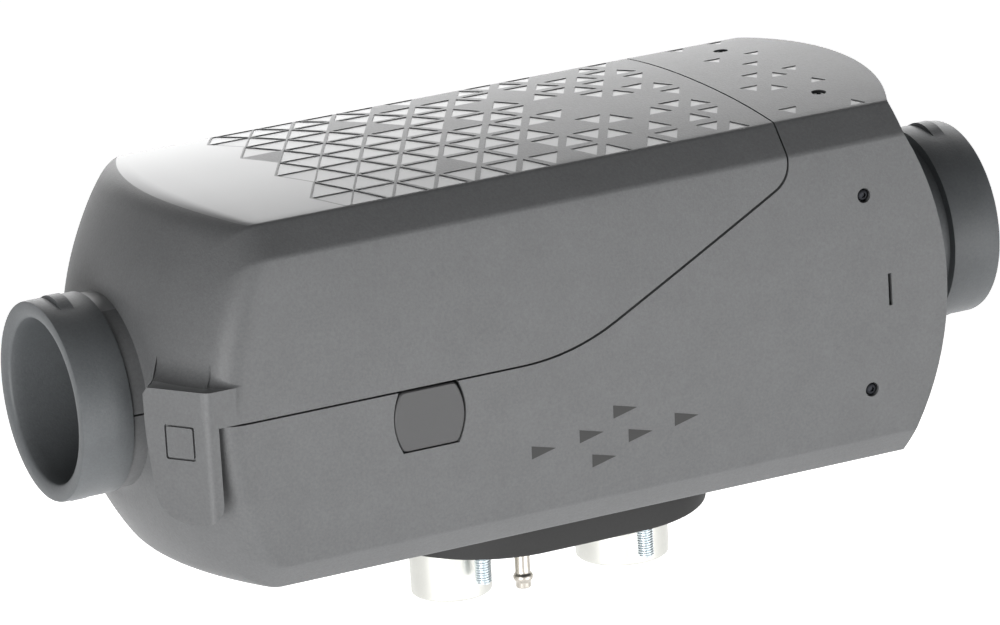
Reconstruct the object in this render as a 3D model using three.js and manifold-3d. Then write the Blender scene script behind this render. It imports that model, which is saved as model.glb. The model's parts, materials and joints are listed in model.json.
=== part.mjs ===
// Compact diesel air heater for vehicle cabins: a two-shell plastic casing round a blower,
// a burner and a finned heat exchanger, bolted through the floor on its base flange.
// Units are millimetres and +Z is up. The model stands on the underside of the flange seal, and
// its origin is there, at the flange centre between the two pipe sockets. Inside the group every
// size is measured from the duct axis, which runs along X: air goes from -X to +X, and the side
// with the arrows faces -Y.

import * as THREE from 'three';
import { mergeVertices } from 'three/addons/utils/BufferGeometryUtils.js';
import Module from 'manifold-3d';

const wasm = await Module();
wasm.setup();

// ---------------------------------------------------------------- clearances
const SEAT_GAP = 0.3; // between pieces that rest on or in each other
const PARTING_GAP = 0.5; // between the two shells
const RUNNING_GAP = 1.5; // between a turning piece and what stands round it

// ---------------------------------------------------------------- duct collars
const DUCT_LENGTH = 309; // rim to rim
const COLLAR_RADIUS = 30;
const COLLAR_LENGTH = 16.2;
const BORE_RADIUS = 24.5;
const LIP_ROUNDING = 2.4;
const NECK_RADIUS = 27;
const NECK_GROOVE = 5.8; // between a collar's back and the dome
const NECK_DEPTH = 5; // how far the intake neck reaches into the dome
const LUG_RADIUS = 14.2; // hose retaining lugs, over and under each collar
const LUG_HEIGHT = 1.2;
const LUG_LENGTH = 4;
const LUG_FROM_RIM = 5.5;

// ---------------------------------------------------------------- casing
const HALF_WIDTH = 54.2;
const TOP_HEIGHT = 55.6;
const BOTTOM_HEIGHT = 55.05;
const CHAMFER_ACROSS = 7.4;
const CHAMFER_DOWN = 8.8;
const WALL = 2.5;
const SIDE_CROWN = 2.2; // bulge of the two sides and of the top over their own edges
const TOP_CROWN = 2.6;
const CROWN_POWER = 2.2;
const DOME_RADIUS = 31; // where a dome meets its neck
const DOME_SPHERE = 108.7; // sphere that the dome's foot lies on
const DOME_AHEAD = 3; // its foremost point, ahead of the dome's end
const DOME_POWER = 1.5;
const EDGE_BLEND = 0.18; // share of the dome that the rounded edge takes
const EDGE_BLEND_START = 4; // behind the panel's end
const PANEL_SPHERE = 114; // sphere that the panels' ends at the intake lie on
const PANEL_BEHIND = 0.3; // its foremost point, behind the dome's end
const RIM_SPHERE = 105; // sphere that the open rim at the outlet lies on
const RIM_AHEAD = 3.7; // its foremost point, ahead of the dome's end
const NECK_STEP = 1.8; // the neck's drop under the dome's end

// ---------------------------------------------------------------- parting line
const PARTING_HEIGHT = 0;
const PARTING_RISE = 27.6; // degrees
const PARTING_RUN = 76.2; // of the rising stretch
const PARTING_FOOT_ROUND = 17;
const PARTING_TOP_ROUND = 6;
const PARTING_FROM_END = 64.5; // its crossing of the top, behind the outlet dome's end

// ---------------------------------------------------------------- tongues of the upper shell
const TONGUE_ANGLE = 55; // degrees between its face and the side panel
const TONGUE_BEHIND = 6.3; // its fold, behind the intake dome's end
const TONGUE_PROUD = 2; // its flank, over the side panel's edge
const TONGUE_WIDTH = 21.7;
const TONGUE_RETURN = 2.9; // strip on the side panel's own plane
const TONGUE_TOP = 11.5;
const TONGUE_DROP = 29.3;
const TONGUE_THICKNESS = 3;
const TONGUE_GAP = 0.9; // between its hanging plate and the lower shell

// ---------------------------------------------------------------- cable outlets
const OUTLET_X = -55.9;
const OUTLET_PROUD = 1.8; // its face, over the side panel's edge
const OUTLET_WIDTH = 17.7;
const OUTLET_HEIGHT = 18.3;
const OUTLET_BULGE = 2.7;
const OUTLET_DEPTH = 7;
const CABLE_RADIUS = 5;
const CABLE_BOSS = 8;
const CABLE_BOSS_LENGTH = 4;

// ---------------------------------------------------------------- casing screws and clip slots
const SCREW_FROM_END = 39.8; // behind the outlet dome's end
const SCREW_OFF = 30.5; // each side of its panel's middle
const SCREW_HEAD = 1.95;
const SCREW_SHANK = 1.4;
const SCREW_SHANK_LENGTH = 6;
const SCREW_HEAD_THICKNESS = 0.9;
const SCREW_RECESS = 0.4;
const SLOT_FROM_END = 32.6;
const SLOT_WIDTH = 1.2;
const SLOT_LENGTH = 10;
const HOOD_SKIRT_OVERLAP = 2.2; // hood's skirt behind the slots
const HOOD_WALL = 2.2;

// ---------------------------------------------------------------- base
const FLANGE_OFFSET = 4.5; // flange centre ahead of the casing's middle
const SEAL_SHIFT = 1.25; // middle of the seal and of the foot, ahead of the flange centre
const SEAL_HALF_SPAN = 16; // between that middle and the centres of the round ends
const SEAL_RADIUS = 37;
const SEAL_DEPTH = 11.35; // under the casing
const SEAL_FLOOR = 3;
const FOOT_RADIUS = 32;
const AIR_X = -29.8; // places on the flange, from its centre
const EXHAUST_X = 29;
const FUEL_X = -9.4;
const FUEL_Y = -8;
const AIR_RADIUS = 12.4;
const EXHAUST_RADIUS = 14.4;
const SOCKET_WALL = 2;
const SOCKET_REACH = 19; // below the seal
const SOCKET_SEAT = 9; // of pipes and studs, into the foot
const FUEL_RADIUS = 2.35;
const FUEL_BORE = 1.3;
const FUEL_REACH = 20.2;
const FUEL_BEAD = 0.7;
const FUEL_BEAD_FROM_END = 3.4;
const STUD_RADIUS = 2.5;
const STUD_REACH = 12.4;
const AIR_STUD = [-27.6, 17.9]; // places of the studs beside each socket, on both sides
const EXHAUST_STUD = [24, 25.3];
const STUD_POINT = 0.6;

// ---------------------------------------------------------------- heat exchanger and burner
const EXCHANGER_START = -44;
const FINS_FROM_END = 46.5; // their end, behind the outlet dome's end
const END_BOSS_LENGTH = 12;
const AIR_GAP = 5.15; // between the fin tips and the nearest wall
const FIN_COUNT = 24;
const FIN_HEIGHT = 8;
const FIN_THICKNESS = 2.4;
const CORE_WALL = 8;
const BURNER_GAP = 4; // between the burner and the exchanger
const BURNER_WALL = 1.5;
const BURNER_LENGTH = 76;
const BURNER_FLANGE = 3; // its reach over the exchanger's bore
const FLANGE_THICKNESS = 2;
const FLAME_GAP = 5; // between the flame tube and the burner's wall
const FLAME_WALL = 1;
const FLAME_OVERLAP = 8;
const FLAME_LENGTH = 46;
const GASKET_WIDTH = 6;
const GLOW_X = -32;
const GLOW_RADIUS = 3;
const GLOW_TIP = 10; // its reach into the burner
const GLOW_PIN = 1.9; // over its grommet
const GLOW_BOSS = 9;
const BOSS_OVER_FINS = 0.45;
const GROMMET_RADIUS = 6.5;
const GROMMET_HEIGHT = 3;
const SENSOR_X = 36;
const SENSOR_SIZE = [16, 10, 3.6];
const SENSOR_PAD = [30, 26];
const CLIP_THICKNESS = 0.8;
const CLIP_WIDTH = 6;
const CLIP_FOOT = 5;

// ---------------------------------------------------------------- blower
const COVER_THICKNESS = 3.4;
const BLOWER_OVER_CORE = 4;
const BLOWER_LENGTH = 16;
const BLOWER_BACK = 4;
const SCROLL_WALL = 9;
const IMPELLER_BLADES = 12;
const IMPELLER_DISC = 1.6;
const IMPELLER_HEIGHT = 7;
const IMPELLER_HUB = 8;
const PORT_RADIUS = 7;
const PORT_OFFSET = 20;
const SHAFT_RADIUS = 3;
const BEARING_RADIUS = 8;
const BEARING_WIDTH = 3.8;
const CAN_RADIUS = 27;
const CAN_WALL = 1.5;
const MAGNET_THICKNESS = 2.8;
const MAGNET_ROOM = 7; // for the bearings, at each end of the can
const ARMATURE_GAP = 0.7;
const END_PLATE = 4.7;
const FAN_GAP = 10.7; // between its tips and the nearest wall
const FAN_FROM_END = 9.4; // its back, behind the intake dome's end
const FAN_HUB = 15;
const FAN_WIDTH = 12;
const FAN_BLADES = 9;
const FAN_BLADE_THICKNESS = 1.4;
const FAN_TWIST = [62, 32]; // blade angles to the fan's plane at hub and tip, degrees from the axis
const FAN_HUB_WALL = 2.5;
const UNIT_HALF_WIDTH = 30;
const UNIT_FOOT = 18;
const UNIT_UNDER_TOP = 7.1;
const UNIT_SOCKETS = 3;

// ---------------------------------------------------------------- exchanger support
const SUPPORT_LENGTH = 8.4;
const SUPPORT_BAND = 3;
const SUPPORT_RING = 3;
const SUPPORT_SPOKE = 5;
const SCREW_BOSS = 3.6;
const SCREW_BOSS_LENGTH = 5;

// ---------------------------------------------------------------- fineness
const LONG_STEPS = 10; // along each long face of the octagon
const ROUND = 48;
const SMALL_ROUND = 20;
const MERGE = 1e-4;

// ---------------------------------------------------------------- derived places
const duct = DUCT_LENGTH / 2;
const collarBack = duct - COLLAR_LENGTH;
const domeEnd = collarBack - NECK_GROOVE;
const domeCentre = domeEnd + DOME_AHEAD - DOME_SPHERE;
const panelCentre = domeEnd - PANEL_BEHIND - PANEL_SPHERE;
const rimCentre = domeEnd + RIM_AHEAD - RIM_SPHERE;
const partingTopX = domeEnd - PARTING_FROM_END;
const partingRiseX = partingTopX - PARTING_RUN;
const outletFace = HALF_WIDTH + OUTLET_PROUD;
const screwX = domeEnd - SCREW_FROM_END;
const slotX = domeEnd - SLOT_FROM_END;
const axisHeight = BOTTOM_HEIGHT + SEAL_DEPTH;
const innerHalf = Math.min(HALF_WIDTH, TOP_HEIGHT, BOTTOM_HEIGHT) - WALL;
const topInside = TOP_HEIGHT - WALL;
const finRadius = innerHalf - AIR_GAP;
const coreRadius = finRadius - FIN_HEIGHT;
const coreBore = coreRadius - CORE_WALL;
const bossTop = finRadius + BOSS_OVER_FINS;
const burnerRadius = coreBore - BURNER_GAP;
const flameRadius = burnerRadius - FLAME_GAP;
const blowerRadius = coreRadius + BLOWER_OVER_CORE;
const scrollRadius = blowerRadius - SCROLL_WALL;
const fanRadius = innerHalf - FAN_GAP;
const exchangerEnd = domeEnd - FINS_FROM_END;
const flangeFace = EXCHANGER_START - SEAT_GAP;
const coverFace = flangeFace - FLANGE_THICKNESS - SEAT_GAP;
const blowerFace = coverFace - COVER_THICKNESS - SEAT_GAP;
const blowerBack = blowerFace - BLOWER_LENGTH;
const canFace = blowerBack - SEAT_GAP;
const fanFace = FAN_FROM_END - domeEnd + FAN_WIDTH;
const plateBack = fanFace + RUNNING_GAP;
const canBack = plateBack + END_PLATE + SEAT_GAP;
const footBottom = -BOTTOM_HEIGHT - SEAL_DEPTH + SEAL_FLOOR + SEAT_GAP;
const sealBottom = -axisHeight;
const sealX = FLANGE_OFFSET + SEAL_SHIFT;

const radians = THREE.MathUtils.degToRad;

// ---------------------------------------------------------------- solids
/** A closed solid from a geometry, with its double points merged. */
function solid(geometry) {
  geometry.deleteAttribute('normal');
  geometry.deleteAttribute('uv');
  const merged = mergeVertices(geometry, MERGE);
  const corners = merged.index.array;
  const triVerts = [];
  for (let i = 0; i < corners.length; i += 3) {
    const [a, b, c] = corners.slice(i, i + 3);
    if (a !== b && b !== c && c !== a) triVerts.push(a, b, c);
  }
  const vertProperties = new Float32Array(merged.attributes.position.array);
  const mesh = { numProp: 3, vertProperties, triVerts: new Uint32Array(triVerts) };
  return new wasm.Manifold(new wasm.Mesh(mesh));
}

/** A cylinder along X, Y or Z between two places on that axis, centred on the other two. */
function rod(axis, radius, from, to, centre = [0, 0], steps = SMALL_ROUND) {
  const geometry = new THREE.CylinderGeometry(radius, radius, to - from, steps);
  const middle = (from + to) / 2;
  if (axis === 'x') geometry.rotateZ(-Math.PI / 2).translate(middle, centre[0], centre[1]);
  if (axis === 'y') geometry.translate(centre[0], middle, centre[1]);
  if (axis === 'z') geometry.rotateX(Math.PI / 2).translate(centre[0], centre[1], middle);
  return solid(geometry);
}

/** A box between two corners. */
function block(low, high) {
  const size = high.map((value, i) => value - low[i]);
  const middle = high.map((value, i) => (value + low[i]) / 2);
  return solid(new THREE.BoxGeometry(...size).translate(...middle));
}

/** A solid turned about the X axis from a closed outline of [x, radius] points. */
function turned(outline, steps = ROUND) {
  const points = [...outline, outline[0]].map(([x, radius]) => new THREE.Vector2(radius, x));
  return solid(new THREE.LatheGeometry(points, steps).rotateZ(-Math.PI / 2));
}

/** A tube about the X axis. */
function tube(outer, inner, from, to, steps = ROUND) {
  return turned([[from, inner], [from, outer], [to, outer], [to, inner]], steps);
}

/** A flat outline in the X-Z plane, carried along Y. */
function carriedAlongY(shape, from, to, curveSegments = 8) {
  const geometry = new THREE.ExtrudeGeometry(shape, { depth: to - from, bevelEnabled: false, curveSegments });
  return solid(geometry.rotateX(Math.PI / 2).translate(0, to, 0));
}

/** A flat outline in the X-Y plane, carried along Z. */
function carriedAlongZ(shape, from, to, curveSegments = 8) {
  const geometry = new THREE.ExtrudeGeometry(shape, { depth: to - from, bevelEnabled: false, curveSegments });
  return solid(geometry.translate(0, 0, from));
}

/** A flat outline in the Y-Z plane, carried along X. */
function carriedAlongX(shape, from, to, curveSegments = 8) {
  const geometry = new THREE.ExtrudeGeometry(shape, { depth: to - from, bevelEnabled: false, curveSegments });
  return solid(geometry.rotateX(Math.PI / 2).rotateZ(Math.PI / 2).translate(from, 0, 0));
}

/** A shape through a list of points. */
const outlineOf = (points) => new THREE.Shape(points.map(([u, v]) => new THREE.Vector2(u, v)));

/** An oblong with round ends, along X about a centre. */
function oblong(halfSpan, radius, x = 0) {
  const shape = new THREE.Shape();
  shape.absarc(x + halfSpan, 0, radius, -Math.PI / 2, Math.PI / 2, false);
  shape.absarc(x - halfSpan, 0, radius, Math.PI / 2, (Math.PI * 3) / 2, false);
  return shape;
}

const joined = (solids) => solids.reduce((whole, next) => whole.add(next));
const cut = (body, tools) => tools.reduce((rest, tool) => rest.subtract(tool), body);
const mirroredY = (body) => body.mirror([0, 1, 0]);
const mirroredX = (body) => body.mirror([1, 0, 0]);

// ---------------------------------------------------------------- casing form
/** How far a crowned panel stands out, as a share of its crown: all in its middle, none at its edges. */
const crown = (place) => 1 - Math.abs(place) ** CROWN_POWER;

/** The outside of a side panel over a height, from the duct axis. */
function sideFace(z) {
  return HALF_WIDTH + SIDE_CROWN * crown(z / (TOP_HEIGHT - CHAMFER_DOWN));
}

/** The outside of the top over a place across it. */
function topFace(y) {
  return TOP_HEIGHT + TOP_CROWN * crown(y / (HALF_WIDTH - CHAMFER_ACROSS));
}

/** The octagon round the duct axis, drawn in by inset, as [y, z] points from -Y round by -Z. */
function octagon(inset) {
  const slant = Math.atan2(CHAMFER_DOWN, CHAMFER_ACROSS);
  const flatLoss = inset * Math.tan(slant / 2);
  const sideLoss = inset * Math.tan((Math.PI / 2 - slant) / 2);
  const width = HALF_WIDTH - inset;
  const flat = HALF_WIDTH - CHAMFER_ACROSS - flatLoss;
  const corners = [
    [width, -(BOTTOM_HEIGHT - CHAMFER_DOWN - sideLoss)],
    [width, TOP_HEIGHT - CHAMFER_DOWN - sideLoss],
    [flat, TOP_HEIGHT - inset],
    [-flat, TOP_HEIGHT - inset],
    [-width, TOP_HEIGHT - CHAMFER_DOWN - sideLoss],
    [-width, -(BOTTOM_HEIGHT - CHAMFER_DOWN - sideLoss)],
    [-flat, -(BOTTOM_HEIGHT - inset)],
    [flat, -(BOTTOM_HEIGHT - inset)],
  ];
  const crowns = [SIDE_CROWN, 0, TOP_CROWN, 0, SIDE_CROWN, 0, 0, 0];
  const points = [];
  corners.forEach(([y, z], i) => {
    const [nextY, nextZ] = corners[(i + 1) % corners.length];
    const steps = i % 2 ? 2 : LONG_STEPS;
    for (let k = 0; k < steps; k += 1) {
      const share = k / steps;
      const swell = crowns[i] * crown(2 * share - 1);
      const [outY, outZ] = [i === 0 ? swell : i === 4 ? -swell : 0, i === 2 ? swell : 0];
      points.push([y + (nextY - y) * share + outY, z + (nextZ - z) * share + outZ]);
    }
  });
  return points;
}

/** Rings of a dome at +X, from its open edge to its neck: each point of the octagon runs in
 * towards the axis, bulging ahead by a power law, with its edge rounded into the panels. */
function domeRings(inset) {
  const points = octagon(inset);
  const reach = (radius) => domeCentre + Math.sqrt((DOME_SPHERE - inset) ** 2 - radius ** 2);
  const end = domeEnd - inset;
  const endRadius = DOME_RADIUS - inset;
  const dome = (radius, u) => {
    const edge = reach(radius);
    return [edge + (end - edge) * (1 - (1 - u) ** DOME_POWER), radius + (endRadius - radius) * u];
  };
  const rounded = (y, z, radius, t) => {
    const start = panelEnd(y, z) - EDGE_BLEND_START;
    const edge = reach(radius);
    const [lastX, lastRadius] = dome(radius, EDGE_BLEND);
    const [p, q, r] = [(1 - t) ** 2, 2 * t * (1 - t), t ** 2];
    return [p * start + q * edge + r * lastX, (p + q) * radius + r * lastRadius];
  };
  const ring = (place) => points.map(([y, z]) => {
    const radius = Math.hypot(y, z);
    const [x, r] = place(y, z, radius);
    return [x, (y * r) / radius, (z * r) / radius];
  });
  const edges = [0, 0.35, 0.7, 1].map((t) => ring((y, z, radius) => rounded(y, z, radius, t)));
  const steps = [0.32, 0.48, 0.64, 0.8, 1];
  return [...edges, ...steps.map((u) => ring((y, z, radius) => dome(radius, u)))];
}

/** Where the panels end at the intake, over a point of the octagon. */
function panelEnd(y, z) {
  return panelCentre + Math.sqrt(PANEL_SPHERE ** 2 - y ** 2 - z ** 2);
}

/** Where the casing's open rim lies at the outlet, over a point of the octagon. */
function rimEnd(y, z) {
  return rimCentre + Math.sqrt(RIM_SPHERE ** 2 - y ** 2 - z ** 2);
}

/** A closed skin through rings that run from -X to +X, each round by +Y, +Z, -Y. */
function lofted(rings) {
  const around = rings[0].length;
  const positions = rings.flat(2);
  const index = [];
  for (let i = 0; i + 1 < rings.length; i += 1) {
    for (let j = 0; j < around; j += 1) {
      const [a, b] = [i * around + j, i * around + ((j + 1) % around)];
      index.push(a, b, a + around, b, b + around, a + around);
    }
  }
  const middle = (ring) => [0, 1, 2].map((k) => ring.reduce((sum, point) => sum + point[k], 0) / around);
  const first = rings.length * around;
  const lastRing = (rings.length - 1) * around;
  positions.push(...middle(rings[0]), ...middle(rings.at(-1)));
  for (let j = 0; j < around; j += 1) {
    const next = (j + 1) % around;
    index.push(first, next, j, first + 1, lastRing + j, lastRing + next);
  }
  const geometry = new THREE.BufferGeometry();
  geometry.setAttribute('position', new THREE.BufferAttribute(new Float32Array(positions), 3));
  geometry.setIndex(index);
  return solid(geometry);
}

const circleRing = (radius, x) => octagon(0).map(([y, z]) => {
  const scale = radius / Math.hypot(y, z);
  return [x, y * scale, z * scale];
});
const flippedX = (ring) => ring.map(([x, y, z]) => [-x, y, z]);

/** The casing's outside, with its dome and neck at the intake and its rim at the outlet. */
function casingOutside(inset) {
  const neck = DOME_RADIUS - NECK_STEP - inset;
  return lofted([
    circleRing(neck, -collarBack + SEAT_GAP),
    circleRing(neck, -domeEnd - 0.7),
    ...domeRings(inset).reverse().map(flippedX),
    octagon(inset).map(([y, z]) => [rimEnd(y, z), y, z]),
  ]);
}

/** The room inside the casing, running out past the rim. */
function casingInside(inset) {
  return lofted([
    ...domeRings(inset).reverse().map(flippedX),
    octagon(inset).map(([y, z]) => [duct, y, z]),
  ]);
}

// ---------------------------------------------------------------- parting of the shells
/** Everything over the parting line, moved by a shift along +X and down. */
function overParting(shift) {
  const slope = Math.tan(radians(PARTING_RISE));
  const run = Math.cos(radians(PARTING_RISE));
  const corner = PARTING_HEIGHT + (partingTopX - partingRiseX) * slope;
  const over = TOP_HEIGHT + 2 * WALL;
  const shape = new THREE.Shape();
  shape.moveTo(-duct, PARTING_HEIGHT);
  shape.lineTo(partingRiseX - PARTING_FOOT_ROUND, PARTING_HEIGHT);
  shape.quadraticCurveTo(
    partingRiseX, PARTING_HEIGHT,
    partingRiseX + PARTING_FOOT_ROUND * run, PARTING_HEIGHT + PARTING_FOOT_ROUND * run * slope,
  );
  shape.lineTo(partingTopX - PARTING_TOP_ROUND * run, corner - PARTING_TOP_ROUND * run * slope);
  shape.quadraticCurveTo(partingTopX, corner, partingTopX, corner + PARTING_TOP_ROUND);
  shape.lineTo(partingTopX, over);
  shape.lineTo(-duct, over);
  return carriedAlongY(shape, -2 * HALF_WIDTH, 2 * HALF_WIDTH).translate([shift, 0, -shift]);
}

// ---------------------------------------------------------------- upper shell
const foldAngle = radians(TONGUE_ANGLE);
const fold = [TONGUE_BEHIND - domeEnd, -HALF_WIDTH - TONGUE_PROUD];
const foldAlong = [-Math.cos(foldAngle), Math.sin(foldAngle)];
const foldInward = [Math.sin(foldAngle), Math.cos(foldAngle)];

/** A point of the plan, by its way along the tongue's slanting face and its depth under it. */
function onFold(along, depth) {
  return [0, 1].map((i) => fold[i] + along * foldAlong[i] + depth * foldInward[i]);
}

/** The hanging plate of the tongue on the -Y side, seen from above and grown by a clearance. */
function platePlan(grow) {
  const rear = fold[0] + TONGUE_RETURN + grow;
  const depth = TONGUE_THICKNESS + grow;
  return outlineOf([
    [rear, fold[1] - grow],
    [fold[0], fold[1] - grow],
    onFold(0, -grow),
    onFold(TONGUE_WIDTH + grow, -grow),
    onFold(TONGUE_WIDTH + grow, depth),
    onFold(depth * Math.tan(foldAngle / 2), depth),
    [rear, fold[1] + depth],
  ]);
}

/** The face outline of that plate, along the fold's face and up, carried through its depth. */
function plateOutline() {
  const right = -TONGUE_RETURN * Math.cos(foldAngle) - 0.1;
  const wide = right - 3;
  const low = -TONGUE_DROP;
  const side = new THREE.Shape();
  side.moveTo(wide, 0);
  side.lineTo(wide, 0.7 * low);
  side.lineTo(right, 0.76 * low);
  side.quadraticCurveTo(right + 0.5, low, TONGUE_WIDTH / 3, low);
  side.quadraticCurveTo(0.71 * TONGUE_WIDTH, low, 0.82 * TONGUE_WIDTH, 0.82 * low);
  side.quadraticCurveTo(0.98 * TONGUE_WIDTH, low / 2, TONGUE_WIDTH, 0);
  side.lineTo(TONGUE_WIDTH, TONGUE_TOP);
  side.lineTo(wide, TONGUE_TOP);
  const turn = new THREE.Matrix4().makeBasis(
    new THREE.Vector3(...foldAlong, 0),
    new THREE.Vector3(0, 0, 1),
    new THREE.Vector3(...foldInward, 0),
  );
  const depth = 3 * TONGUE_WIDTH;
  const geometry = new THREE.ExtrudeGeometry(side, { depth, bevelEnabled: false, curveSegments: 6 });
  geometry.translate(0, 0, -TONGUE_WIDTH).applyMatrix4(turn);
  return solid(geometry.translate(...fold, 0));
}

/** One tongue, on the -Y side: a cheek that carries the side panel on towards the intake,
 * turns in at a fold and hangs down over the lower shell as a flat plate. */
function tongue() {
  const panel = -panelEnd(HALF_WIDTH, 0) + 8;
  const cheek = outlineOf([
    [panel, fold[1]],
    fold,
    onFold(TONGUE_WIDTH, 0),
    onFold(TONGUE_WIDTH, 7),
    [panel, fold[1] + 6],
  ]);
  const plate = carriedAlongZ(platePlan(0), -TONGUE_DROP, PARTING_HEIGHT + 1).intersect(plateOutline());
  return carriedAlongZ(cheek, PARTING_HEIGHT, TONGUE_TOP).add(plate);
}

/** The room that the lower shell leaves for it. */
function tongueRoom() {
  return carriedAlongZ(platePlan(TONGUE_GAP), -TONGUE_DROP - TONGUE_GAP, PARTING_HEIGHT + 1);
}

const outside = casingOutside(0);
const inside = casingInside(WALL);
const neckBore = rod('x', NECK_RADIUS + SEAT_GAP, -duct, -domeEnd + 2 * NECK_DEPTH, [0, 0], ROUND);
const casing = cut(outside, [inside, neckBore]);

function upperShell() {
  const cheeks = tongue().add(mirroredY(tongue()));
  return casing.intersect(overParting(0)).add(cheeks.subtract(inside).subtract(neckBore));
}

// ---------------------------------------------------------------- cable outlets
/** The barrel outline of a cable outlet, grown by a clearance. */
function outletShape(grow) {
  const half = OUTLET_WIDTH / 2 + grow;
  const bulge = half + OUTLET_BULGE;
  const top = PARTING_HEIGHT - PARTING_GAP;
  const bottom = top - OUTLET_HEIGHT - grow;
  const middle = (top + bottom) / 2;
  const round = 1.6;
  const shape = new THREE.Shape();
  shape.moveTo(OUTLET_X - half, top);
  shape.quadraticCurveTo(OUTLET_X - bulge - OUTLET_BULGE, middle, OUTLET_X - half - 0.2, bottom + round);
  shape.quadraticCurveTo(OUTLET_X - half, bottom, OUTLET_X - half + round, bottom);
  shape.lineTo(OUTLET_X + half - round, bottom);
  shape.quadraticCurveTo(OUTLET_X + half, bottom, OUTLET_X + half + 0.2, bottom + round);
  shape.quadraticCurveTo(OUTLET_X + bulge + OUTLET_BULGE, middle, OUTLET_X + half, top);
  return shape;
}

function outletCut() {
  const half = OUTLET_WIDTH / 2 + SEAT_GAP;
  const [outer, inner] = [-outletFace - WALL, -outletFace + OUTLET_DEPTH];
  const over = block(
    [OUTLET_X - half, outer, PARTING_HEIGHT - PARTING_GAP - 1],
    [OUTLET_X + half, inner, PARTING_HEIGHT + 1],
  );
  return carriedAlongY(outletShape(SEAT_GAP), outer, inner).add(over);
}

function blankingPlug() {
  const body = carriedAlongY(outletShape(0), -outletFace, -outletFace + OUTLET_DEPTH);
  const hollow = rod('y', CABLE_RADIUS, -outletFace + WALL, -outletFace + 2 * OUTLET_DEPTH, outletCentre);
  return body.subtract(hollow);
}

const outletCentre = [OUTLET_X, PARTING_HEIGHT - PARTING_GAP - OUTLET_HEIGHT / 2];

function cableGrommet() {
  const body = carriedAlongY(outletShape(0), outletFace - OUTLET_DEPTH, outletFace);
  const boss = rod('y', CABLE_BOSS, outletFace - 1, outletFace + CABLE_BOSS_LENGTH, outletCentre, 28);
  const reach = [outletFace - 2 * OUTLET_DEPTH, outletFace + 2 * CABLE_BOSS_LENGTH];
  const hole = rod('y', CABLE_RADIUS, ...reach, outletCentre);
  return body.add(boss).subtract(hole);
}

// ---------------------------------------------------------------- casing screws
/** Places of the casing screws: where the head's outer face meets the casing, and the way in. */
const screwPlaces = [
  ...[SCREW_OFF, -SCREW_OFF].map((z) => ({ at: [screwX, -sideFace(z), z], way: [0, 1, 0] })),
  ...[SCREW_OFF, -SCREW_OFF].map((z) => ({ at: [screwX, sideFace(z), z], way: [0, -1, 0] })),
  ...[SCREW_OFF, -SCREW_OFF].map((y) => ({ at: [screwX, y, topFace(y)], way: [0, 0, -1] })),
];

/** A round body along a screw's way in, between two depths under the casing's face. */
function alongScrew(place, radius, from, to, steps = SMALL_ROUND) {
  const geometry = new THREE.CylinderGeometry(radius, radius, to - from, steps);
  geometry.translate(0, (from + to) / 2, 0);
  const way = new THREE.Vector3(...place.way);
  geometry.applyQuaternion(new THREE.Quaternion().setFromUnitVectors(new THREE.Vector3(0, 1, 0), way));
  return solid(geometry.translate(...place.at));
}

function casingScrew(place) {
  const under = SCREW_RECESS + SCREW_HEAD_THICKNESS;
  const shank = alongScrew(place, SCREW_SHANK, under - 0.1, under + SCREW_SHANK_LENGTH, 12);
  return alongScrew(place, SCREW_HEAD, SCREW_RECESS, under).add(shank);
}

function screwHoles(place) {
  const recess = SCREW_RECESS + SCREW_HEAD_THICKNESS + SEAT_GAP;
  return alongScrew(place, SCREW_HEAD + SEAT_GAP, -1, recess)
    .add(alongScrew(place, SCREW_SHANK + SEAT_GAP, 0, 2 * WALL, 12));
}

// ---------------------------------------------------------------- lower shell
function lowerShell() {
  const clipSlots = block(
    [slotX - SLOT_WIDTH / 2, -2 * HALF_WIDTH, -SLOT_LENGTH / 2],
    [slotX + SLOT_WIDTH / 2, 2 * HALF_WIDTH, SLOT_LENGTH / 2],
  );
  const foot = oblong(SEAL_HALF_SPAN, FOOT_RADIUS + SEAT_GAP, sealX);
  const footHole = carriedAlongZ(foot, -2 * BOTTOM_HEIGHT, -BOTTOM_HEIGHT + 2 * WALL, 12);
  const sides = outletCut().add(tongueRoom());
  const below = casing.subtract(overParting(PARTING_GAP));
  return cut(below, [clipSlots, footHole, sides, mirroredY(sides), ...screwPlaces.map(screwHoles)]);
}

// ---------------------------------------------------------------- collars
/** A duct collar at +X with its rounded lip and its two hose lugs. */
function collar(from) {
  const lip = LIP_ROUNDING;
  const half = 0.3 * lip;
  const ring = turned([
    [from, BORE_RADIUS], [from, NECK_RADIUS], [collarBack, NECK_RADIUS], [collarBack, COLLAR_RADIUS],
    [duct - half, COLLAR_RADIUS], [duct, COLLAR_RADIUS - half], [duct, BORE_RADIUS + lip],
    [duct - half, BORE_RADIUS + half], [duct - lip, BORE_RADIUS],
  ]);
  const centre = COLLAR_RADIUS + LUG_HEIGHT - LUG_RADIUS;
  const lugs = [centre, -centre].map((z) => rod(
    'x', LUG_RADIUS, duct - LUG_FROM_RIM - LUG_LENGTH, duct - LUG_FROM_RIM, [0, z], 32,
  ));
  const core = rod('x', (COLLAR_RADIUS + BORE_RADIUS) / 2, from - 1, duct + 1, [0, 0], ROUND);
  return ring.add(joined(lugs).subtract(core));
}

const inletConnector = () => mirroredX(collar(domeEnd - NECK_DEPTH));

// ---------------------------------------------------------------- outlet hood
function outletHood() {
  const outer = WALL + SEAT_GAP;
  const start = slotX - HOOD_SKIRT_OVERLAP;
  const skin = (inset, from) => lofted([
    octagon(inset).map(([y, z]) => [from, y, z]),
    ...domeRings(inset),
  ]);
  const hollow = skin(outer + HOOD_WALL, start - 1);
  const bore = rod('x', BORE_RADIUS, start - 1, duct + 1, [0, 0], ROUND);
  const whole = skin(outer, start).subtract(hollow).add(collar(domeEnd - outer - HOOD_WALL));
  return whole.subtract(bore);
}

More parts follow.
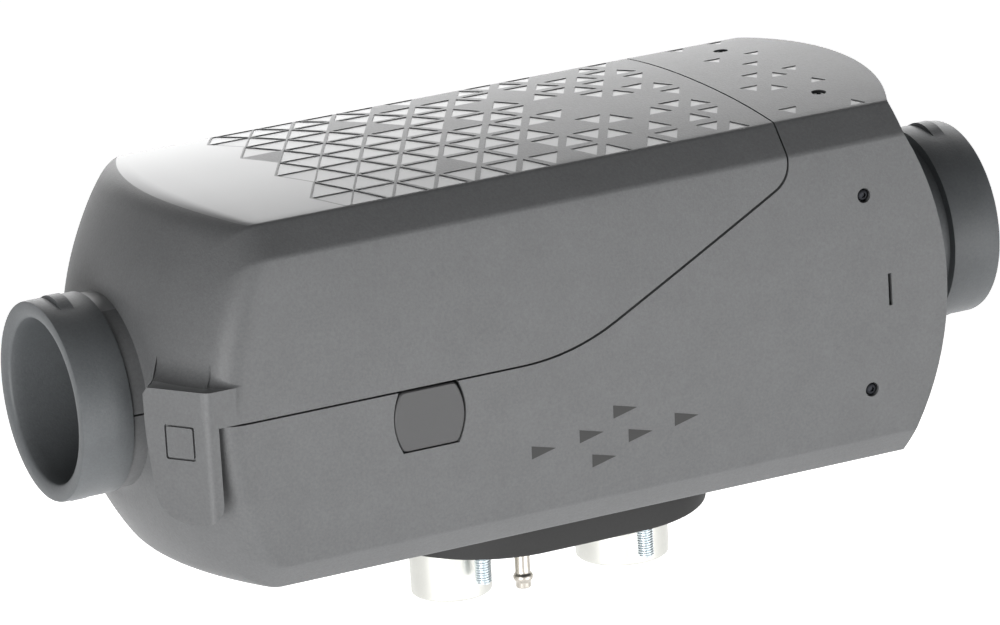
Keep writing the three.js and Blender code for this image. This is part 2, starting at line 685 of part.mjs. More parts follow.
// ---------------------------------------------------------------- base
function flangeSeal() {
  const shape = (radius) => oblong(SEAL_HALF_SPAN, radius, sealX);
  const top = -BOTTOM_HEIGHT - SEAT_GAP;
  const rim = carriedAlongZ(shape(SEAL_RADIUS), sealBottom, top, 16);
  const well = carriedAlongZ(shape(FOOT_RADIUS + SEAT_GAP), sealBottom + SEAL_FLOOR, 0, 12);
  return cut(rim, [well, ...baseHoles(sealBottom - 1, sealBottom + SEAL_FLOOR + 1)]);
}

/** Places of the four studs from the casing's middle. */
const studPlaces = [-1, 1].flatMap((side) => [AIR_STUD, EXHAUST_STUD]
  .map(([x, y]) => [FLANGE_OFFSET + x, side * y]));
const airPlace = [FLANGE_OFFSET + AIR_X, 0];
const exhaustPlace = [FLANGE_OFFSET + EXHAUST_X, 0];
const fuelPlace = [FLANGE_OFFSET + FUEL_X, FUEL_Y];

/** Holes for the pipes and studs between two heights. */
function baseHoles(from, to) {
  return [
    rod('z', AIR_RADIUS + SEAT_GAP, from, to, airPlace, 32),
    rod('z', EXHAUST_RADIUS + SEAT_GAP, from, to, exhaustPlace, 32),
    rod('z', FUEL_RADIUS + SEAT_GAP, from, to, fuelPlace, 16),
    ...studPlaces.map((place) => rod('z', STUD_RADIUS + SEAT_GAP, from, to, place, 16)),
  ];
}

function pipeSocket(radius, place) {
  const from = sealBottom - SOCKET_REACH;
  const to = footBottom + SOCKET_SEAT - SEAT_GAP;
  const bore = rod('z', radius - SOCKET_WALL, from - 1, to + 1, place, 32);
  return rod('z', radius, from, to, place, 32).subtract(bore);
}

function fuelPipe() {
  const from = sealBottom - FUEL_REACH;
  const bead = from + FUEL_BEAD_FROM_END;
  const pipe = rod('z', FUEL_RADIUS, from, footBottom + SOCKET_SEAT - SEAT_GAP, fuelPlace, 16);
  const ring = rod('z', FUEL_RADIUS + FUEL_BEAD, bead - FUEL_BEAD, bead + FUEL_BEAD, fuelPlace, 16);
  return pipe.add(ring).subtract(rod('z', FUEL_BORE, from - 1, -BOTTOM_HEIGHT, fuelPlace, 12));
}

function mountingStud(place) {
  const from = sealBottom - STUD_REACH;
  const to = footBottom + SOCKET_SEAT - SEAT_GAP;
  const outline = [
    [0, from], [STUD_RADIUS - STUD_POINT, from], [STUD_RADIUS, from + STUD_POINT], [STUD_RADIUS, to], [0, to],
  ];
  const points = outline.map(([radius, z]) => new THREE.Vector2(radius, z));
  return solid(new THREE.LatheGeometry(points, 16).rotateX(Math.PI / 2).translate(...place, 0));
}

// ---------------------------------------------------------------- heat exchanger
function heatExchanger() {
  const start = EXCHANGER_START;
  const end = exchangerEnd + END_BOSS_LENGTH;
  const body = rod('x', coreRadius, start, end, [0, 0], ROUND);
  const fin = (turn) => block(
    [start, coreRadius - 2, -FIN_THICKNESS / 2], [exchangerEnd, finRadius, FIN_THICKNESS / 2],
  ).rotate([turn, 0, 0]);
  const fins = Array.from({ length: FIN_COUNT }, (_, i) => fin((360 * i) / FIN_COUNT));
  const foot = carriedAlongZ(oblong(SEAL_HALF_SPAN, FOOT_RADIUS, sealX), footBottom, -coreBore, 12);
  const boss = rod('z', GLOW_BOSS, coreBore, bossTop, [GLOW_X, 0], 24);
  const [padX, padY] = SENSOR_PAD;
  const pad = block([SENSOR_X - padX / 2, -padY / 2, coreBore], [SENSOR_X + padX / 2, padY / 2, bossTop]);
  const face = rod('x', blowerRadius + SEAT_GAP, start - 3, start, [0, 0], ROUND);
  const bore = rod('x', coreBore, start - 1, exchangerEnd, [0, 0], ROUND);
  const glowHole = rod('z', GLOW_RADIUS + SEAT_GAP, 0, bossTop + 1, [GLOW_X, 0], 16);
  const seats = baseHoles(footBottom - 1, footBottom + SOCKET_SEAT);
  const exhaustWay = rod('z', EXHAUST_RADIUS - 2 * SOCKET_WALL, footBottom, 0, exhaustPlace, 24);
  const whole = joined([body, ...fins, foot, boss, pad]);
  return cut(whole, [face, bore, glowHole, exhaustWay, ...seats]);
}

// ---------------------------------------------------------------- burner
function combustionChamber() {
  const start = flangeFace - FLANGE_THICKNESS;
  const end = start + BURNER_LENGTH;
  const chamber = turned([
    [start, burnerRadius - BURNER_WALL], [start, coreBore + BURNER_FLANGE],
    [flangeFace, coreBore + BURNER_FLANGE],
    [flangeFace, burnerRadius], [end, burnerRadius], [end, flameRadius + SEAT_GAP],
    [end - BURNER_WALL, flameRadius + SEAT_GAP], [end - BURNER_WALL, burnerRadius - BURNER_WALL],
  ]);
  return chamber.subtract(rod('z', GLOW_RADIUS + SEAT_GAP, 0, 2 * burnerRadius, [GLOW_X, 0], 16));
}

function flameTube() {
  const start = flangeFace - FLANGE_THICKNESS + BURNER_LENGTH - FLAME_OVERLAP;
  return tube(flameRadius, flameRadius - FLAME_WALL, start, start + FLAME_LENGTH);
}

function exchangerGasket() {
  const inner = coreBore + BURNER_FLANGE + SEAT_GAP;
  return tube(inner + GASKET_WIDTH, inner, flangeFace - FLANGE_THICKNESS, flangeFace);
}

function glowPlug() {
  const top = bossTop + SEAT_GAP + GROMMET_HEIGHT;
  const tip = rod('z', 1.8, burnerRadius - GLOW_TIP, burnerRadius, [GLOW_X, 0], 16);
  const body = rod('z', GLOW_RADIUS, burnerRadius - 1, top, [GLOW_X, 0], 16);
  return joined([tip, body, rod('z', 1.6, top - 1, top + GLOW_PIN, [GLOW_X, 0], 16)]);
}

function glowGrommet() {
  const from = bossTop + SEAT_GAP;
  return rod('z', GROMMET_RADIUS, from, from + GROMMET_HEIGHT, [GLOW_X, 0], 24)
    .subtract(rod('z', GLOW_RADIUS + SEAT_GAP, 0, 2 * topInside, [GLOW_X, 0], 16));
}

// ---------------------------------------------------------------- overheat sensor
const sensorFoot = bossTop + SEAT_GAP;
const sensorTop = sensorFoot + SENSOR_SIZE[2];

function overheatSensor() {
  const [length, width] = SENSOR_SIZE;
  return block(
    [SENSOR_X - length / 2, -width / 2, sensorFoot],
    [SENSOR_X + length / 2, width / 2, sensorTop],
  );
}

/** A leaf over the sensor with a leg and a foot on each side. */
function sensorClip() {
  const near = SENSOR_SIZE[1] / 2 + SEAT_GAP;
  const far = near + CLIP_THICKNESS;
  const low = sensorTop + SEAT_GAP;
  const high = low + CLIP_THICKNESS;
  const foot = sensorFoot;
  const shape = outlineOf([
    [-far - CLIP_FOOT, foot], [-near, foot], [-near, low], [near, low], [near, foot], [far + CLIP_FOOT, foot],
    [far + CLIP_FOOT, foot + CLIP_THICKNESS], [far, foot + CLIP_THICKNESS], [far, high],
    [-far, high], [-far, foot + CLIP_THICKNESS], [-far - CLIP_FOOT, foot + CLIP_THICKNESS],
  ]);
  return carriedAlongX(shape, SENSOR_X - CLIP_WIDTH / 2, SENSOR_X + CLIP_WIDTH / 2);
}

// ---------------------------------------------------------------- blower and motor
function blowerCover() {
  const port = rod('x', PORT_RADIUS, blowerFace, coverFace + 1, [0, PORT_OFFSET], 24);
  const plate = rod('x', blowerRadius, coverFace - COVER_THICKNESS, coverFace, [0, 0], ROUND);
  return plate.subtract(port);
}

function blowerHousing() {
  const body = rod('x', blowerRadius, blowerBack, blowerFace, [0, 0], ROUND);
  const scroll = rod('x', scrollRadius, blowerBack + BLOWER_BACK, blowerFace + 1, [0, 0], ROUND);
  const seat = rod('x', BEARING_RADIUS + SEAT_GAP, blowerBack - 1, blowerFace, [0, 0], 32);
  return cut(body, [scroll, seat]);
}

function combustionImpeller() {
  const from = blowerBack + BLOWER_BACK + RUNNING_GAP;
  const radius = scrollRadius - RUNNING_GAP - 1;
  const disc = rod('x', radius, from, from + IMPELLER_DISC, [0, 0], ROUND);
  const hub = rod('x', IMPELLER_HUB, from, from + IMPELLER_HEIGHT, [0, 0], 24);
  const blade = (turn) => block(
    [from + 0.5, IMPELLER_HUB + 2, -0.6], [from + IMPELLER_HEIGHT, radius, 0.6],
  ).rotate([turn, 0, 0]);
  const blades = Array.from({ length: IMPELLER_BLADES }, (_, i) => blade((360 * i) / IMPELLER_BLADES));
  const hole = rod('x', SHAFT_RADIUS + SEAT_GAP, from - 1, from + IMPELLER_HEIGHT + 1, [0, 0], 24);
  return joined([disc, hub, ...blades]).subtract(hole);
}

const impellerEnd = blowerBack + BLOWER_BACK + RUNNING_GAP + IMPELLER_HEIGHT;
const motorShaft = () => rod('x', SHAFT_RADIUS, fanFace - FAN_WIDTH, impellerEnd + 0.5, [0, 0], 24);

function bearing(from) {
  return tube(BEARING_RADIUS, SHAFT_RADIUS + SEAT_GAP, from, from + BEARING_WIDTH, 32);
}

function motorCan() {
  const body = rod('x', CAN_RADIUS, canBack, canFace, [0, 0], ROUND);
  const hollow = rod('x', CAN_RADIUS - CAN_WALL, canBack - 1, canFace - CAN_WALL, [0, 0], ROUND);
  return cut(body, [hollow, rod('x', BEARING_RADIUS + SEAT_GAP, canBack, canFace + 1, [0, 0], 32)]);
}

function motorEndPlate() {
  const body = rod('x', CAN_RADIUS, plateBack, plateBack + END_PLATE, [0, 0], ROUND);
  const bore = rod('x', BEARING_RADIUS + SEAT_GAP, plateBack + 0.8, plateBack + END_PLATE + 1, [0, 0], 32);
  return cut(body, [bore, rod('x', SHAFT_RADIUS + SEAT_GAP, plateBack - 1, plateBack + 2, [0, 0], 24)]);
}

const magnetBore = CAN_RADIUS - CAN_WALL - SEAT_GAP - MAGNET_THICKNESS;
const magnetSpan = [canBack + MAGNET_ROOM, canFace - MAGNET_ROOM];
const motorMagnets = () => tube(magnetBore + MAGNET_THICKNESS, magnetBore, ...magnetSpan);
const armature = () => tube(magnetBore - ARMATURE_GAP, SHAFT_RADIUS + SEAT_GAP, ...magnetSpan);

// ---------------------------------------------------------------- hot-air fan
/** One blade: a thin section carried out from the hub, turning from the hub angle to the tip angle. */
function fanBlade(turn) {
  const stations = [0, 0.33, 0.66, 1];
  const [atHub, atTip] = FAN_TWIST.map(radians);
  const rings = stations.map((share) => {
    const radius = FAN_HUB - 1 + (fanRadius - FAN_HUB + 1) * share;
    const angle = atHub + (atTip - atHub) * share;
    const reach = (FAN_WIDTH - 2) / 2;
    const side = reach * Math.tan(Math.PI / 2 - angle) * 0.9;
    const thin = FAN_BLADE_THICKNESS / 2 / Math.sin(angle);
    return [[-reach, -side - thin], [reach, side - thin], [reach, side + thin], [-reach, -side + thin]]
      .map(([x, z]) => [x, radius, z]);
  });
  const around = 4;
  const index = [0, 1, 2, 0, 2, 3];
  const last = (stations.length - 1) * around;
  index.push(last, last + 2, last + 1, last, last + 3, last + 2);
  for (let i = 0; i + 1 < stations.length; i += 1) {
    for (let j = 0; j < around; j += 1) {
      const [a, b] = [i * around + j, i * around + ((j + 1) % around)];
      index.push(a, a + around, b, b, a + around, b + around);
    }
  }
  const geometry = new THREE.BufferGeometry();
  geometry.setAttribute('position', new THREE.BufferAttribute(new Float32Array(rings.flat(2)), 3));
  geometry.setIndex(index);
  return solid(geometry.rotateX(turn).translate(fanFace - FAN_WIDTH / 2, 0, 0));
}

function hotAirFan() {
  const back = fanFace - FAN_WIDTH;
  const hub = turned([
    [back, SHAFT_RADIUS + SEAT_GAP], [back, FAN_HUB - 3], [back + 2, FAN_HUB], [fanFace, FAN_HUB],
    [fanFace, FAN_HUB - FAN_HUB_WALL], [back + FAN_HUB_WALL, FAN_HUB - FAN_HUB_WALL],
    [back + FAN_HUB_WALL, SHAFT_RADIUS + 3], [fanFace - 3, SHAFT_RADIUS + 3],
    [fanFace - 3, SHAFT_RADIUS + SEAT_GAP],
  ], 36);
  const blades = Array.from({ length: FAN_BLADES }, (_, i) => fanBlade((2 * Math.PI * i) / FAN_BLADES));
  return joined([hub, ...blades]);
}

// ---------------------------------------------------------------- control unit
function controlUnit() {
  const back = canBack - SEAT_GAP;
  const top = topInside - UNIT_UNDER_TOP;
  const body = block([back, -UNIT_HALF_WIDTH, UNIT_FOOT], [canFace - SEAT_GAP, UNIT_HALF_WIDTH, top]);
  const saddle = rod('x', CAN_RADIUS + SEAT_GAP, -duct, 0, [0, 0], ROUND);
  const pitch = (2 * UNIT_HALF_WIDTH) / UNIT_SOCKETS;
  const sockets = Array.from({ length: UNIT_SOCKETS }, (_, i) => {
    const y = -UNIT_HALF_WIDTH + (i + 0.5) * pitch;
    return block([back + 4, y - pitch * 0.3, top - 7], [back + 12, y + pitch * 0.3, top + 1]);
  });
  return cut(body, [saddle, ...sockets]);
}

// ---------------------------------------------------------------- exchanger support
/** An octagonal band inside the casing, with spokes to a ring round the exchanger's end. */
function exchangerSupport() {
  const from = screwX + 0.5 - SUPPORT_LENGTH / 2;
  const to = from + SUPPORT_LENGTH;
  const band = (inset, low, high) => lofted([
    octagon(inset).map(([y, z]) => [low, y, z]),
    octagon(inset).map(([y, z]) => [high, y, z]),
  ]);
  const outer = WALL + SEAT_GAP;
  const hole = coreRadius + SEAT_GAP;
  const reach = 1.4 * HALF_WIDTH;
  const bar = block([from + 2, -reach, -SUPPORT_SPOKE / 2], [to - 2, reach, SUPPORT_SPOKE / 2]);
  const spokes = [45, 135].map((turn) => bar.rotate([turn, 0, 0]));
  const frame = band(outer, from, to).subtract(band(outer + SUPPORT_BAND, from - 1, to + 1));
  const ring = rod('x', hole + SUPPORT_RING, from, to, [0, 0], ROUND);
  const bossEnd = outer + SCREW_BOSS_LENGTH;
  const bosses = screwPlaces.map((place) => alongScrew(place, SCREW_BOSS, outer + 1, bossEnd));
  const spider = joined([ring, ...spokes]).intersect(band(outer, from, to));
  const whole = joined([frame, spider, ...bosses]);
  const holes = screwPlaces.map((place) => alongScrew(place, SCREW_SHANK + SEAT_GAP, 0, 4 * WALL, 12));
  return cut(whole, [rod('x', hole, from - 1, to + 1, [0, 0], ROUND), ...holes]);
}

// ---------------------------------------------------------------- finishes
const finish = (color, roughness, metalness) => ({ color, roughness, metalness });
const CASING = finish(0x7d7d7d, 0.62, 0);
const COLLAR = finish(0x6e7072, 0.6, 0);
const PLUG = finish(0x6b6b6b, 0.5, 0);
const RUBBER = finish(0x262626, 0.8, 0);
const CAST = finish(0xc8c8c4, 0.45, 0.9);
const STEEL = finish(0xa8a49c, 0.35, 1);
const ZINC = finish(0xc8d4d8, 0.3, 1);
const BLACK = finish(0x1c1d1f, 0.55, 0);
const FAN = finish(0x2b2d30, 0.5, 0);
const COPPER = finish(0xa8623a, 0.4, 0.8);

const heater = new THREE.Group();
heater.position.set(-FLANGE_OFFSET, 0, axisHeight);

/** Adds one named piece with its own material. */
function piece(name, body, look) {
  const { numProp, vertProperties, triVerts } = body.getMesh();
  const positions = new Float32Array((vertProperties.length / numProp) * 3);
  for (let i = 0; i * numProp < vertProperties.length; i += 1) {
    positions.set(vertProperties.subarray(i * numProp, i * numProp + 3), i * 3);
  }
  const geometry = new THREE.BufferGeometry();
  geometry.setAttribute('position', new THREE.BufferAttribute(positions, 3));
  geometry.setIndex(Array.from(triVerts));
  geometry.computeVertexNormals();
  const mesh = new THREE.Mesh(geometry, new THREE.MeshStandardMaterial(look));
  mesh.name = name;
  heater.add(mesh);
}

piece('upper_shell', upperShell(), CASING);
piece('lower_shell', lowerShell(), CASING);
piece('inlet_connector', inletConnector(), COLLAR);
piece('outlet_hood', outletHood(), COLLAR);
piece('blanking_plug', blankingPlug(), PLUG);
piece('cable_grommet', cableGrommet(), RUBBER);
screwPlaces.forEach((place, i) => piece(`casing_screw_${i + 1}`, casingScrew(place), ZINC));
piece('flange_seal', flangeSeal(), RUBBER);
piece('combustion_air_socket', pipeSocket(AIR_RADIUS, airPlace), CAST);
piece('exhaust_socket', pipeSocket(EXHAUST_RADIUS, exhaustPlace), CAST);
piece('fuel_pipe', fuelPipe(), STEEL);
studPlaces.forEach((place, i) => piece(`mounting_stud_${i + 1}`, mountingStud(place), ZINC));
piece('heat_exchanger', heatExchanger(), CAST);
piece('exchanger_support', exchangerSupport(), BLACK);
piece('combustion_chamber', combustionChamber(), STEEL);
piece('flame_tube', flameTube(), STEEL);
piece('exchanger_gasket', exchangerGasket(), BLACK);
piece('glow_plug', glowPlug(), STEEL);
piece('glow_plug_grommet', glowGrommet(), RUBBER);
piece('overheat_sensor', overheatSensor(), STEEL);
piece('sensor_clip', sensorClip(), STEEL);
piece('blower_cover', blowerCover(), CAST);
piece('blower_housing', blowerHousing(), CAST);
piece('combustion_impeller', combustionImpeller(), FAN);
piece('motor_shaft', motorShaft(), STEEL);
piece('bearing_rear', bearing(blowerBack), STEEL);
piece('bearing_front', bearing(plateBack + END_PLATE - BEARING_WIDTH), STEEL);
piece('motor_can', motorCan(), STEEL);
piece('motor_end_plate', motorEndPlate(), BLACK);
piece('motor_magnets', motorMagnets(), BLACK);
piece('armature', armature(), COPPER);
piece('hot_air_fan', hotAirFan(), FAN);
piece('control_unit', controlUnit(), BLACK);

export default heater;
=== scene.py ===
"""Looks for the compact diesel air heater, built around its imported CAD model.

Every length is in metres. Pieces are worked out in the duct's own frame, whose origin is the middle of the
casing on the duct's axis, and moved by DATUM to the part's frame, whose origin is under the flange seal.
"""

import json

import bmesh
import bpy
import numpy as np
from bpy.props import FloatProperty, FloatVectorProperty, PointerProperty
from mathutils import Matrix

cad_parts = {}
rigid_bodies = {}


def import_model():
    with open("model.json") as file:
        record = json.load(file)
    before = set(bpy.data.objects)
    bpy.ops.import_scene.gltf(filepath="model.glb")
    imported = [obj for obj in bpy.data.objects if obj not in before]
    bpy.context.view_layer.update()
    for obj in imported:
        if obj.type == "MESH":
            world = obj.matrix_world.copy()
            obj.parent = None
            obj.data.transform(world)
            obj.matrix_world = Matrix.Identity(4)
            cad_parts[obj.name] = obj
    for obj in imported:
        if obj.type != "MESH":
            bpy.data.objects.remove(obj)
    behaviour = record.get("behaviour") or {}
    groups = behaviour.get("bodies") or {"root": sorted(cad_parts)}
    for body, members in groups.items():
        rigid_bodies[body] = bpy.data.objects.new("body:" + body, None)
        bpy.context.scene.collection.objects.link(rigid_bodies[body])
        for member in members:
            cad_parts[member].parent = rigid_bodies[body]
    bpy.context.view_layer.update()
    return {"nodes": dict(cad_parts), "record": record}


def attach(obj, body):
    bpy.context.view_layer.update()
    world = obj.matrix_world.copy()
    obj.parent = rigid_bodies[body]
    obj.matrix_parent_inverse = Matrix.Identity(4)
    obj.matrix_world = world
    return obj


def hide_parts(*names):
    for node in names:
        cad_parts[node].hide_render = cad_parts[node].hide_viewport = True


bl_info = {
    "name": "Diesel air heater",
    "version": (1, 0, 0),
    "blender": (4, 5, 0),
    "location": "View3D > Sidebar > Air heater",
    "description": "Builds the visible pieces of a compact diesel air heater over its CAD model",
    "category": "Object",
}

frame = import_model()
DATUM = np.array([-0.0045, 0.0, 0.0664])

# Places and sizes that more than one piece uses, in the duct's frame.
STUDS = [(-0.0231, -0.0179), (0.0285, -0.0253), (-0.0231, 0.0179), (0.0285, 0.0253)]
SEAL_FOOT, CASING_FOOT = -0.0664, -0.0544
AIR_SOCKET_X, AIR_SOCKET_RADIUS = -0.0253, 0.0124
EXHAUST_SOCKET_X, EXHAUST_SOCKET_RADIUS = 0.0335, 0.0144
FUEL_PLACE, FUEL_RADIUS = (-0.0049, -0.008), 0.00235
PIPE_CLEARANCE = 0.0003
SCREW_X, SCREW_OUT = 0.0927, 0.0305
SLOT_X, SLOT_HALF = 0.0999, 0.0006
OUTLET_X = -0.0559
DOME_END, DOME_NECK = 0.1325, 0.031
PARTING_END_X = 0.068
TOP_HALF, RELIEF_START = 0.0468, -0.0729


def linear(code):
    """An sRGB hex colour as linear red, green and blue."""
    channels = np.array([int(code[i : i + 2], 16) for i in (1, 3, 5)]) / 255
    low = channels <= 0.04045
    return tuple(np.where(low, channels / 12.92, ((channels + 0.055) / 1.055) ** 2.4))


# ------------------------------------------------------------------ sizes and colours


def length(name, description, default):
    """A length property in metres."""
    return FloatProperty(
        name=name, description=description, default=default, min=0.0, unit="LENGTH", precision=5
    )


def tint(name, description, code):
    """A colour property."""
    return FloatVectorProperty(
        name=name, description=description, default=linear(code), subtype="COLOR", size=3, min=0.0, max=1.0
    )


class HeaterSizes(bpy.types.PropertyGroup):
    duct_length: length("Duct length", "From rim to rim of the two duct collars", 0.309)
    collar_radius: length("Collar radius", "Outside of a duct collar", 0.03)
    bore_radius: length("Bore radius", "Inside of a duct collar", 0.0245)
    half_width: length("Half width", "From the duct axis to the edge of a side panel", 0.0542)
    top_height: length("Top height", "From the duct axis to the edge of the top panel", 0.0556)
    bottom_height: length("Bottom height", "From the duct axis to the underside", 0.05505)
    side_crown: length("Side crown", "Bulge of a side panel over its edges", 0.0022)
    top_crown: length("Top crown", "Bulge of the top panel over its edges", 0.0026)
    wall: length("Wall", "Thickness of the casing", 0.0025)
    corner: length("Corner rounding", "Reach of the rounding beside each chamfer", 0.0009)
    parting_gap: length("Parting gap", "Gap between the two shells", 0.0006)
    triangle_side: length("Triangle side", "Side of one triangle of the relief on the top", 0.01368)
    pocket_depth: length("Pocket depth", "Depth of the relief on the top", 0.00022)
    thread_pitch: length("Thread pitch", "Pitch of the mounting studs", 0.0008)


class HeaterColours(bpy.types.PropertyGroup):
    casing: tint("Casing", "Moulded casing", "#636465")
    # Lighter than the casing: a painted sheen for the polished parts of the top.
    smooth: tint("Smooth top", "Polished parts of the top", "#7a7b7c")
    collar: tint("Collar", "Moulded duct collars and outlet hood", "#5f6264")
    plug: tint("Plug", "Moulded blanking plug", "#4a4a4b")
    rubber: tint("Rubber", "Flange seal and grommets", "#242424")
    marking: tint("Marking", "Printed arrows", "#2b2b2b")
    floor: tint("Floor", "Floor and backdrop", "#f4f4f4")


def sizes():
    return bpy.context.scene.heater_sizes


def colours():
    return bpy.context.scene.heater_colours


# ------------------------------------------------------------------ materials


def add(tree, kind, inputs=None, **settings):
    """Adds one node with its settings. An input is given a value, or a socket to link from."""
    node = tree.nodes.new(kind)
    for key, value in settings.items():
        setattr(node, key, value)
    for key, value in (inputs or {}).items():
        if isinstance(value, bpy.types.NodeSocket):
            tree.links.new(value, node.inputs[key])
        else:
            node.inputs[key].default_value = value
    return node


def start(name, colour, roughness, metallic=0.0):
    """A new material with its shader and coordinates."""
    material = bpy.data.materials.new(name)
    material.use_nodes = True
    material.diffuse_color = (*colour, 1)
    tree = material.node_tree
    shader = tree.nodes["Principled BSDF"]
    shader.inputs["Base Color"].default_value = (*colour, 1)
    shader.inputs["Roughness"].default_value = roughness
    shader.inputs["Metallic"].default_value = metallic
    return material, tree, shader, add(tree, "ShaderNodeTexCoord").outputs["Object"]


def blotches(tree, coords, size, colour, spread):
    """The colour, drifting darker and lighter by spread in blotches of that size."""
    drift = {"Vector": coords, "Scale": 1 / size, "Detail": 4.0, "Roughness": 0.6}
    noise = add(tree, "ShaderNodeTexNoise", drift)
    dark = tuple(c * (1 - spread) for c in colour)
    light = tuple(c * (1 + spread) for c in colour)
    ends = {"Factor": noise.outputs["Fac"], "A": (*dark, 1), "B": (*light, 1)}
    mix = add(tree, "ShaderNodeMix", ends, data_type="RGBA")
    return mix.outputs["Result"]


def moulded(name, colour, roughness, grain, depth, spread=0.05):
    """Injection-moulded plastic with a spark-eroded grain of that size and depth."""
    material, tree, shader, coords = start(name, colour, roughness)
    shader.inputs["IOR"].default_value = 1.5
    even = {"Vector": coords, "Scale": 1 / grain, "Detail": 2.0, "Roughness": 0.5}
    rugged = {"Vector": coords, "Scale": 0.7 / grain, "Detail": 2.0, "Roughness": 0.7}
    fine = add(tree, "ShaderNodeTexNoise", even)
    bump = add(tree, "ShaderNodeBump", {"Height": fine.outputs["Fac"], "Strength": 1.0, "Distance": depth})
    speck = add(tree, "ShaderNodeTexNoise", rugged)
    tree.links.new(bump.outputs["Normal"], shader.inputs["Normal"])
    base = blotches(tree, coords, 0.012, colour, spread)
    specks = {"Value": speck.outputs["Fac"], "From Min": 0.25, "From Max": 0.75}
    shade = add(tree, "ShaderNodeMapRange", {**specks, "To Min": 1 - spread, "To Max": 1 + spread})
    grey = add(
        tree,
        "ShaderNodeMix",
        {"Factor": 1.0, "A": base, "B": shade.outputs["Result"]},
        data_type="RGBA",
        blend_type="MULTIPLY",
    )
    tree.links.new(grey.outputs["Result"], shader.inputs["Base Color"])
    return material


def polished_top_painted_sheen(material, smooth):
    """Gives the plain left part of the top the polished finish, up to the zigzag where the relief begins:
    lower roughness, a weaker grain and a lighter colour, which is a painted sheen.

    The zigzag is x = border - 0.58 t in the part's frame, where t goes from 0 to a row's height and back over
    two rows of triangles across the top.
    """
    row, slope, border, level = 0.011847, 0.58, -0.0779, 0.93
    grained, polished = 0.5, 0.34
    tree = material.node_tree
    shader = tree.nodes["Principled BSDF"]
    coords = add(tree, "ShaderNodeTexCoord")
    axes = add(tree, "ShaderNodeSeparateXYZ", {"Vector": coords.outputs["Object"]})
    way = add(tree, "ShaderNodeSeparateXYZ", {"Vector": coords.outputs["Normal"]})
    zigzag = add(tree, "ShaderNodeMath", {0: axes.outputs["Y"], 1: row}, operation="PINGPONG")
    along = {0: zigzag.outputs["Value"], 1: slope, 2: axes.outputs["X"]}
    edge = add(tree, "ShaderNodeMath", along, operation="MULTIPLY_ADD")
    left = add(tree, "ShaderNodeMath", {0: edge.outputs["Value"], 1: border}, operation="LESS_THAN")
    upright = add(tree, "ShaderNodeMath", {0: way.outputs["Z"], 1: level}, operation="GREATER_THAN")
    both = add(
        tree, "ShaderNodeMath", {0: left.outputs["Value"], 1: upright.outputs["Value"]}, operation="MULTIPLY"
    ).outputs["Value"]
    # Upright faces of the polished part get the lighter colour: painted sheen.
    colour = add(tree, "ShaderNodeMix", {"Factor": both}, data_type="RGBA")
    tree.links.new(shader.inputs["Base Color"].links[0].from_socket, colour.inputs[6])
    colour.inputs[7].default_value = (*smooth, 1)
    tree.links.new(colour.outputs[2], shader.inputs["Base Color"])
    rough = add(tree, "ShaderNodeMapRange", {"Value": both, "To Min": grained, "To Max": polished})
    tree.links.new(rough.outputs["Result"], shader.inputs["Roughness"])
    grain = add(tree, "ShaderNodeMapRange", {"Value": both, "To Min": 1.0, "To Max": 0.1})
    bump = shader.inputs["Normal"].links[0].from_node
    tree.links.new(grain.outputs["Result"], bump.inputs["Strength"])
    return material


def metal(name, colour, roughness, grain, depth, spread=0.08):
    """Metal with a fine uneven surface of that grain."""
    material, tree, shader, coords = start(name, colour, roughness, 1.0)
    uneven = {"Vector": coords, "Scale": 1 / grain, "Detail": 3.0, "Roughness": 0.6}
    noise = add(tree, "ShaderNodeTexNoise", uneven)
    bump = add(tree, "ShaderNodeBump", {"Height": noise.outputs["Fac"], "Strength": 1.0, "Distance": depth})
    rough = add(
        tree,
        "ShaderNodeMapRange",
        {"Value": noise.outputs["Fac"], "To Min": roughness * 0.75, "To Max": min(1.0, roughness * 1.3)},
    )
    tree.links.new(bump.outputs["Normal"], shader.inputs["Normal"])
    tree.links.new(rough.outputs["Result"], shader.inputs["Roughness"])
    tree.links.new(blotches(tree, coords, 0.01, colour, spread), shader.inputs["Base Color"])
    return material


